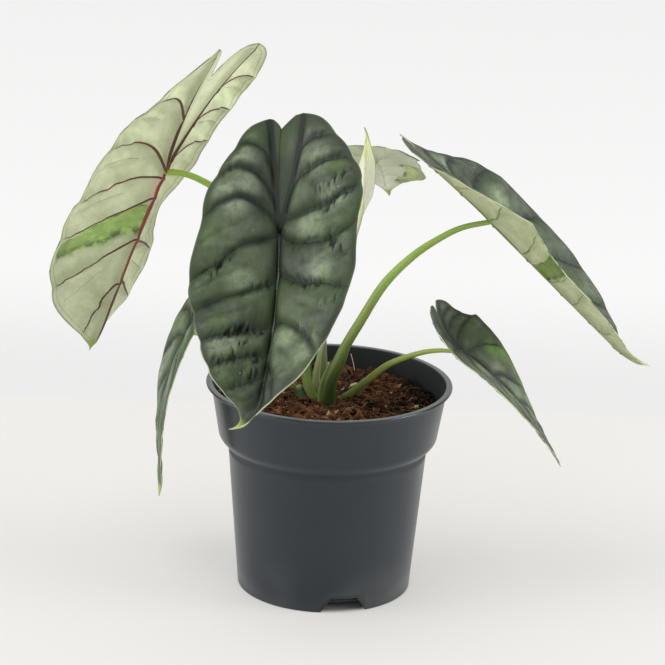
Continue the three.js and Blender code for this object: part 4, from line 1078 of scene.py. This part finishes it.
def make_blade(name, leaf, seed, materials):
    """The upper face, the lower face and the rim between them, each with its own material."""
    found, faces = blade_sheet(leaf, seed)
    first, faces = weld(found["flat"], faces)
    found = {key: values[first] for key, values in found.items()}
    places, count = found["place"], len(first)
    normals = sheet_normals(places, faces)
    thicker = (BLADE_THICKNESS - MARGIN_THICKNESS) * smooth(found["edge"], 0, 6)
    half = (MARGIN_THICKNESS + thicker) / 2
    top = places + normals * half[:, None]
    bottom = places - normals * (half + vein_keel(leaf, found))[:, None]
    lower = [tuple(i + count for i in reversed(face)) for face in faces]
    edges = {(a, b) for face in faces for a, b in zip(face, face[1:] + face[:1])}
    rim = [(b, a, a + count, b + count) for a, b in edges if (b, a) not in edges]
    tip = found["flat"][:, 1] / leaf["length"]
    shown = {key: found[key] for key in ("vein", "minor", "rib", "edge", "across", "flat", "crease_shade")}
    shown.update(patch=patch_map(leaf, found, seed), silver=silver_and_highlight_map(leaf, found, seed), tip=tip,
                 fresh=fresh_map(leaf, found, seed), ink=np.full(count, leaf["ink"]),
                 bold=np.where(tip < 0, np.array(leaf["bold"])[found["side"]], 1.0),
                 keel=smooth(tip, 0.02, 0.1) * smooth(-tip, -0.9, -0.75))
    doubled = {key: np.concatenate([values, values]) for key, values in shown.items()}
    slots = [0] * len(faces) + [1] * len(lower) + [2] * len(rim)
    piece = make_object(f"{name}_leaf", np.vstack([top, bottom]), faces + lower + rim, doubled, slots)
    dress(piece, materials, f"{name}_blade")


# Stalks and other tubes.

def tube(route, radii, sides, steps, seed=0, wobble=0.0):
    """A tapering tube along a smooth route, closed at both ends: its points, its faces and the
    measures flat, along and front, which is 1 where it faces the viewer."""
    centre = spline(route, max(2, steps // (len(route) - 1)))
    tangent = np.gradient(centre, axis=0)
    tangent /= np.linalg.norm(tangent, axis=1)[:, None]
    share = np.linspace(0, 1, len(centre))
    radius = np.interp(share, np.linspace(0, 1, len(radii)), radii)
    length = np.concatenate([[0], np.cumsum(np.linalg.norm(np.diff(centre, axis=0), axis=1))])
    cosine, sine, zero = ring(1, 0, sides).T[:, :, None]
    normal = np.cross(tangent[0], (0, 1, 0.2))
    points, flat, front = [], [], []
    for place, ahead, size, reach in zip(centre, tangent, radius, length):
        normal = normal - ahead * np.dot(normal, ahead)
        normal /= np.linalg.norm(normal)
        out = cosine * normal + sine * np.cross(ahead, normal)
        lump = value_noise(3 * cosine, 3 * sine + reach / 40, seed)
        points.append(place + size * (1 + wobble * lump) * out)
        flat.append(np.hstack([3 * cosine * radius[0], 3 * sine * radius[0], zero + reach / 14]))
        front.append(-out[:, 1])
    last = len(centre) * sides
    faces = ring_faces(len(centre), sides)
    for j in range(sides):
        k = (j + 1) % sides
        faces += [(last, k, j), (last + 1, last - sides + j, last - sides + k)]
    measures = {"flat": np.vstack([*flat, (0, 0, 0), (0, 0, length[-1] / 14)]),
                "along": np.append(np.repeat(share, sides), (0, 1)),
                "front": np.append(np.concatenate(front), (0, 0))}
    return np.vstack([*points, centre[0], centre[-1]]), faces, measures


def make_stalk(name, leaf, seed, material):
    """A stalk from inside the mix to the underside of its blade."""
    route = [*leaf["stalk"], leaf["junction"]]
    parts = tube(route, leaf["radii"], STALK_SIDES, STALK_STEPS, seed, STALK_WOBBLE)
    piece = make_object(f"{name}_petiole", *parts)
    dress(piece, [material], f"{name}_stalk")


def make_crown(material):
    """The buried corm, the cut stub and the sheath edge that clasps the right leaf's stalk."""
    parts = []
    for *shape, pale in CROWN:
        parts.append(tube(*shape))
        parts[-1][2]["front"][:] = pale
    piece = make_object("crown_sheaths", *join_parts(parts))
    dress(piece, [material], "crown")


# The pot.

def outer_radius(z):
    """Radius of the pot's tapered body at a height."""
    return FOOT_RADIUS + (BODY_TOP[0] - FOOT_RADIUS) * z / BODY_TOP[1]


def arc(centre, radius, start, stop, steps):
    """Points of a round corner, from one angle in degrees to another."""
    angles = np.radians(np.linspace(start, stop, steps + 1))
    return [(centre[0] + radius * math.cos(a), centre[1] + radius * math.sin(a)) for a in angles]


def beside(corner, *offsets):
    """Places given by how far out and how far up they lie from a corner."""
    return [(corner[0] + out, corner[1] + up) for out, up in offsets]


def pot_profile():
    """Radius and height round the wall, from the floor plate's top to its underside."""
    plate = outer_radius(PLATE_TOP) - WALL
    inner = [(0.01, PLATE_TOP), (30, PLATE_TOP), (plate - 0.6, PLATE_TOP), (plate, PLATE_TOP + 0.7),
             (outer_radius(30) - WALL, 30), *beside(BODY_TOP, (-WALL, 0)),
             *beside(COLLAR_FOOT, (-WALL - 0.4, -0.6), (-WALL, 0.4)), *beside(COLLAR_TOP, (-WALL, 0))]
    height = POT_HEIGHT - LIP_ROUND
    lip = [*arc((LIP_INNER + LIP_ROUND, height), LIP_ROUND, 180, 90, 5),
           *arc((LIP_RADIUS - LIP_ROUND, height), LIP_ROUND, 90, -90, 9), *LIP_UNDER, COLLAR_TOP]
    ledge = [*beside(COLLAR_FOOT, (0.6, 3.2), (0.35, 1.6), (-0.1, 0.4), (-0.9, -0.8)),
             *beside(BODY_TOP, (0.7, 0.8), (0.1, -0.2), (-0.15, -1.6))]
    body = [(outer_radius(z), z) for z in (50, 30, 12, 0.25)]
    foot = [*beside((FOOT_RADIUS, 0), (-0.25, 0), (0.2 - WALL, 0), (-WALL, 0.1)),
            (outer_radius(PLATE_BOTTOM) - WALL, PLATE_BOTTOM), (20, PLATE_BOTTOM), (0.01, PLATE_BOTTOM)]
    return inner + lip + ledge + body + foot


def make_pot(material):
    """The turned wall and floor with its notches and drain holes; its large faces stay flat."""
    profile = pot_profile()
    points = np.vstack([ring(radius, z, POT_SIDES) for radius, z in profile])
    pot = make_object("growers_pot", points, turned_faces(len(profile), POT_SIDES), {})
    cut_foot(pot)
    for face in pot.data.polygons:
        face.use_smooth = face.area < FLAT_FACE
    dress(pot, [material], "pot")


def about_pot(angle, out, aside, z):
    """A place in the frame, out from the pot's axis at an angle and then sideways."""
    x = out * math.cos(angle) - aside * math.sin(angle)
    y = out * math.sin(angle) + aside * math.cos(angle)
    return Vector((x, y, z)) * MM + POT_AXIS


def notch_block(shape, turn):
    """Adds the trapezoid bar that cuts one notch through the foot."""
    slant = (NOTCH["foot"] - NOTCH["top"]) / 2 / NOTCH["height"]
    low, top = NOTCH["foot"] / 2 + slant * NOTCH["below"], NOTCH["top"] / 2
    section = [(-low, -NOTCH["below"]), (low, -NOTCH["below"]), (top, NOTCH["height"]),
               (-top, NOTCH["height"])]
    corners = [shape.verts.new(about_pot(turn, out, aside, z))
               for out in (NOTCH["near"], NOTCH["far"]) for aside, z in section]
    for face in ((3, 2, 1, 0), (4, 5, 6, 7), (0, 1, 5, 4), (1, 2, 6, 5), (2, 3, 7, 6), (3, 0, 4, 7)):
        shape.faces.new([corners[i] for i in face])


def cut_foot(pot):
    """Cuts the notches through the foot and the drain holes through the floor plate."""
    shape = bmesh.new()
    for i in range(NOTCH["count"]):
        notch_block(shape, math.radians(-90 + NOTCH["first"] + i * 360 / NOTCH["count"]))
    for i in range(DRAIN["count"]):
        angle = math.radians(-90 + NOTCH["first"] + (i + 0.5) * 360 / DRAIN["count"])
        centre = about_pot(angle, DRAIN["ring"], 0, PLATE_TOP - 1)
        bmesh.ops.create_cone(
            shape, cap_ends=True, segments=DRAIN["sides"], radius1=DRAIN["radius"] * MM,
            radius2=DRAIN["radius"] * MM, depth=DRAIN["depth"] * MM, matrix=Matrix.Translation(centre))
    bmesh.ops.recalc_face_normals(shape, faces=shape.faces)
    cutter = new_object("foot_cutter", bpy.data.meshes.new("foot_cutter"))
    shape.to_mesh(cutter.data)
    shape.free()
    cut = pot.modifiers.new("foot_cuts", "BOOLEAN")
    cut.operation, cut.object, cut.solver = "DIFFERENCE", cutter, "EXACT"
    bpy.context.view_layer.objects.active = pot
    bpy.ops.object.modifier_apply(modifier=cut.name)
    bpy.data.objects.remove(cutter)


# The potting mix.

def mix_height(x, y):
    """Height of the mix's top at a place: a slope with hills and bumps."""
    hills = 1.4 * value_noise(x / 16, y / 16, MIX_SEEDS["hills"])
    bumps = 0.8 * value_noise(x / 6, y / 6, MIX_SEEDS["bumps"])
    return MIX_TOP + MIX_SLOPE_X * x + MIX_SLOPE_Y * y + hills + bumps


def mix_body():
    """The closed body of the mix under its loose top crumbs, nearly black: painted shade in the gaps
    between them.
    """
    rings = []
    for radius in np.linspace(0.02, 1, MIX_RINGS) * MIX_RADIUS:
        x, y, _ = ring(radius, 0, MIX_SIDES).T
        grit = MIX_GRIT * value_noise(x / 2, y / 2, MIX_SEEDS["grit"])
        rings.append(np.stack([x, y, mix_height(x, y) - MIX_SUNK + grit], -1))
    for radius, z in (COLLAR_FOOT, BODY_TOP, (outer_radius(12), 12)):
        rings.append(ring(radius - WALL - MIX_CLEARANCE, z, MIX_SIDES))
    for radius in (outer_radius(PLATE_TOP) - WALL - 6, 0.5):
        rings.append(ring(radius, PLATE_TOP + MIX_CLEARANCE, MIX_SIDES))
    points = np.vstack(rings)
    # A nearly black tone: painted shade in the gaps between the crumbs.
    speckle = np.abs(value_noise(points[:, 0] / 3, points[:, 1] / 3, MIX_SEEDS["tone"]))
    return points, turned_faces(len(rings), MIX_SIDES), {"tone": 0.02 + 0.12 * speckle}


def crumb_shape():
    """A unit crumb: an icosahedron's points and faces."""
    golden = (1 + 5**0.5) / 2
    points = []
    for a in (-1, 1):
        for b in (-golden, golden):
            points += [(0, a, b), (a, b, 0), (b, 0, a)]
    points = np.array(points) / math.hypot(1, golden)
    shape = bmesh.new()
    for point in points:
        shape.verts.new(point)
    bmesh.ops.convex_hull(shape, input=shape.verts)
    shape.verts.index_update()
    faces = [tuple(v.index for v in face.verts) for face in shape.faces]
    points = np.array([v.co[:] for v in shape.verts])
    shape.free()
    return points, np.array(faces)


def turns(angles, first, second):
    """Rotation matrices that turn the first axis towards the second."""
    found = np.tile(np.eye(3), (len(angles), 1, 1))
    found[:, first, first] = np.cos(angles)
    found[:, second, second] = np.cos(angles)
    found[:, second, first] = np.sin(angles)
    found[:, first, second] = -np.sin(angles)
    return found


def random_turns(random, count):
    """Random rotation matrices that keep flat crumbs mostly lying down."""
    yaw = random.uniform(0, 2 * math.pi, count)
    pitch, roll = random.normal(0, 0.55, count), random.normal(0, 0.55, count)
    return turns(yaw, 0, 1) @ turns(pitch, 2, 0) @ turns(roll, 1, 2)


def lumps(random, x, y, lift, sizes, tone, rough):
    """One rough crumb at each place, with its three sizes, turned at random."""
    shape, triangles = crumb_shape()
    count = len(x)
    uneven = random.uniform(1 - rough, 1 + rough, (count, len(shape)))[..., None]
    points = (shape[None] * uneven * sizes[:, None]) @ random_turns(random, count).transpose(0, 2, 1)
    points = points + np.stack([x, y, mix_height(x, y) + lift], -1)[:, None]
    offsets = np.arange(count)[:, None, None] * len(shape)
    faces = (triangles[None] + offsets).reshape(-1, 3)
    return points.reshape(-1, 3), faces.tolist(), {"tone": np.repeat(tone, len(shape))}


def round_places(random, count, reach):
    """Random places spread evenly over the mix."""
    radius = MIX_RADIUS * reach * np.sqrt(random.uniform(0, 1, count))
    angle = random.uniform(0, 2 * math.pi, count)
    return radius * np.cos(angle), radius * np.sin(angle)


def shaded(x, y):
    """1 where the right leaf shades the mix, 0 elsewhere."""
    return smooth(x - 0.5 * np.abs(y + 5), 4, 30)


def crumbs(random):
    """Loose coir crumbs over the whole top, lighter in front and behind, and darker at the right with
    painted shade where the right leaf shades the mix.
    """
    x, y = round_places(random, CRUMBS, 0.985)
    size = 0.5 + 1.7 * random.uniform(0, 1, CRUMBS) ** 3
    sizes = size[:, None] * random.uniform((0.8, 0.5, 0.3), (2.0, 1.0, 0.7), (CRUMBS, 3))
    cloud = value_noise(x / 11, y / 11, MIX_SEEDS["crumbs"])
    level = 0.5 * cloud + 0.4 * smooth(-y - x, 10, 45)
    # Painted shade where the right leaf shades the mix.
    dark = 0.6 * shaded(x, y)
    tone = np.clip(random.beta(1.0, 1.9, CRUMBS) * (1 - dark) + 0.3 * level - 0.3 * dark, 0, 1)
    odd = random.uniform(0, 1, CRUMBS)
    for share, colour in ((0.012, CREAM), (0.005, YELLOW), (0.002, GREEN)):
        tone[odd < share] = colour
    return lumps(random, x, y, -0.5 + random.uniform(-0.4, 0.7, CRUMBS), sizes, tone, 0.26)


def chips(random):
    """Larger flat bark chips that lie between the crumbs."""
    x, y = round_places(random, CHIPS, 0.92)
    size = random.uniform(1.9, 4.0, CHIPS)
    sizes = size[:, None] * random.uniform((1.0, 0.55, 0.16), (1.5, 0.9, 0.3), (CHIPS, 3))
    cloud = value_noise(x / 14, y / 14, MIX_SEEDS["chips"])
    # Darker where the right leaf shades the mix: painted shade.
    tone = np.clip(random.beta(1.3, 1.8, CHIPS) + 0.25 * cloud - 0.5 * shaded(x, y), 0.08, 1)
    return lumps(random, x, y, random.uniform(-0.2, 0.8, CHIPS), sizes, tone, 0.2)


def strand(route, thick, tone, sides):
    """One thin fibre or small chunk along a route of places."""
    points, faces, _ = tube(route, [thick, thick], sides, len(route) * 2)
    return points, faces, {"tone": np.full(len(points), tone)}


def fibres(random):
    """Thin coir fibres that lie over the crumbs."""
    strands = []
    for x, y in zip(*round_places(random, FIBRES, 0.9)):
        heading, turn = random.uniform(0, 2 * math.pi), random.normal(0, 0.3)
        length, arch = random.uniform(3, 13), random.uniform(0, 1.4)
        route = []
        for share in np.linspace(0, 1, 5):
            inside = min(1, MIX_RADIUS * 0.96 / max(1.0, math.hypot(x, y)))
            z = float(mix_height(x * inside, y * inside)) + 0.5 + arch * math.sin(math.pi * share)
            route.append((x * inside, y * inside, z))
            x, y = x + math.cos(heading) * length / 4, y + math.sin(heading) * length / 4
            heading += turn
        strands.append(strand(route, random.uniform(0.07, 0.16), random.uniform(0.45, 0.9), 3))
    return strands


def make_mix(material):
    """The mix's body with its loose crumbs, chips, fibres and odd bits."""
    random = np.random.default_rng(SEED)
    parts = [mix_body(), crumbs(random), chips(random), *fibres(random)]
    parts += [strand(*bit) for bit in BITS]
    piece = make_object("coir_mix", *join_parts(parts), smooth_shade=False)
    dress(piece, [material], "soil")


# Stage, light and camera.

def make_stage():
    """The pale table and, behind its edge, the grey backdrop."""
    for name, (half, front, back, height, near, far, glow) in SHEETS.items():
        mesh = bpy.data.meshes.new(name)
        corners = ((-half, front), (half, front), (half, back), (-half, back))
        mesh.from_pydata([(x, y, height) for x, y in corners], [], [(0, 1, 2, 3)])
        mesh.materials.append(plain_stage(f"{name}_white", near, far, glow))
        new_object(name, mesh)


def make_light():
    """An even white studio with three soft lamps."""
    world = bpy.data.worlds.new("studio")
    world.use_nodes = True
    background = world.node_tree.nodes["Background"].inputs
    background["Color"].default_value = (1, 1, 1, 1)
    background["Strength"].default_value = WORLD_LIGHT
    bpy.context.scene.world = world
    for name, (place, target, power) in LAMPS.items():
        lamp = bpy.data.lights.new(name, "AREA")
        lamp.shape, lamp.size, lamp.energy = "DISK", LAMP_SIZE, power
        light = new_object(name, lamp)
        light.location = place
        light.rotation_euler = (Vector(target) - Vector(place)).to_track_quat("-Z", "Y").to_euler()
    bpy.context.scene.view_settings.view_transform = "Standard"


def make_camera():
    """The photograph's own viewpoint, looking down at the pot from the front."""
    sine, cosine = math.sin(CAMERA_TURN), math.cos(CAMERA_TURN)
    level = math.cos(CAMERA_DOWN)
    ahead = Vector((sine * level, cosine * level, -math.sin(CAMERA_DOWN)))
    right = Vector((cosine, -sine, 0))
    up = right.cross(ahead)
    level_right = right * math.cos(CAMERA_ROLL) + up * math.sin(CAMERA_ROLL)
    level_up = up * math.cos(CAMERA_ROLL) - right * math.sin(CAMERA_ROLL)
    lens = bpy.data.cameras.new("photo_camera")
    lens.sensor_width = SENSOR
    lens.lens = FOCAL_PIXELS / PHOTO_SIZE * SENSOR
    lens.clip_start, lens.clip_end = CAMERA_CLIP
    camera = new_object("photo_camera", lens)
    turned = Matrix((level_right, level_up, -ahead)).transposed().to_4x4()
    place = POT_AXIS + Vector((0, -CAMERA_BACK, CAMERA_HEIGHT)) * MM
    camera.matrix_world = Matrix.Translation(place) @ turned
    bpy.context.scene.camera = camera


def make_plant():
    """Each leaf with its stalk, and the crown they grow from."""
    upper, rim, young = upper_face(), rim_face(), young_face()
    lowers = {name: lower_face(f"leaf_lower_{name}", **shown) for name, shown in UNDERSIDES.items()}
    for number, (name, leaf) in enumerate(LEAVES.items()):
        faces = [young] * 3 if name == "young" else [upper, lowers[leaf["under"]], rim]
        make_blade(name, leaf, SEED + 100 * number, faces)
        make_stalk(name, leaf, number, stalk_face(f"{name}_stalk_skin", *leaf["skin"]))
    make_crown(crown_face())


make_camera()
make_plant()
make_pot(pot_plastic())
make_mix(coir())
make_stage()
make_light()
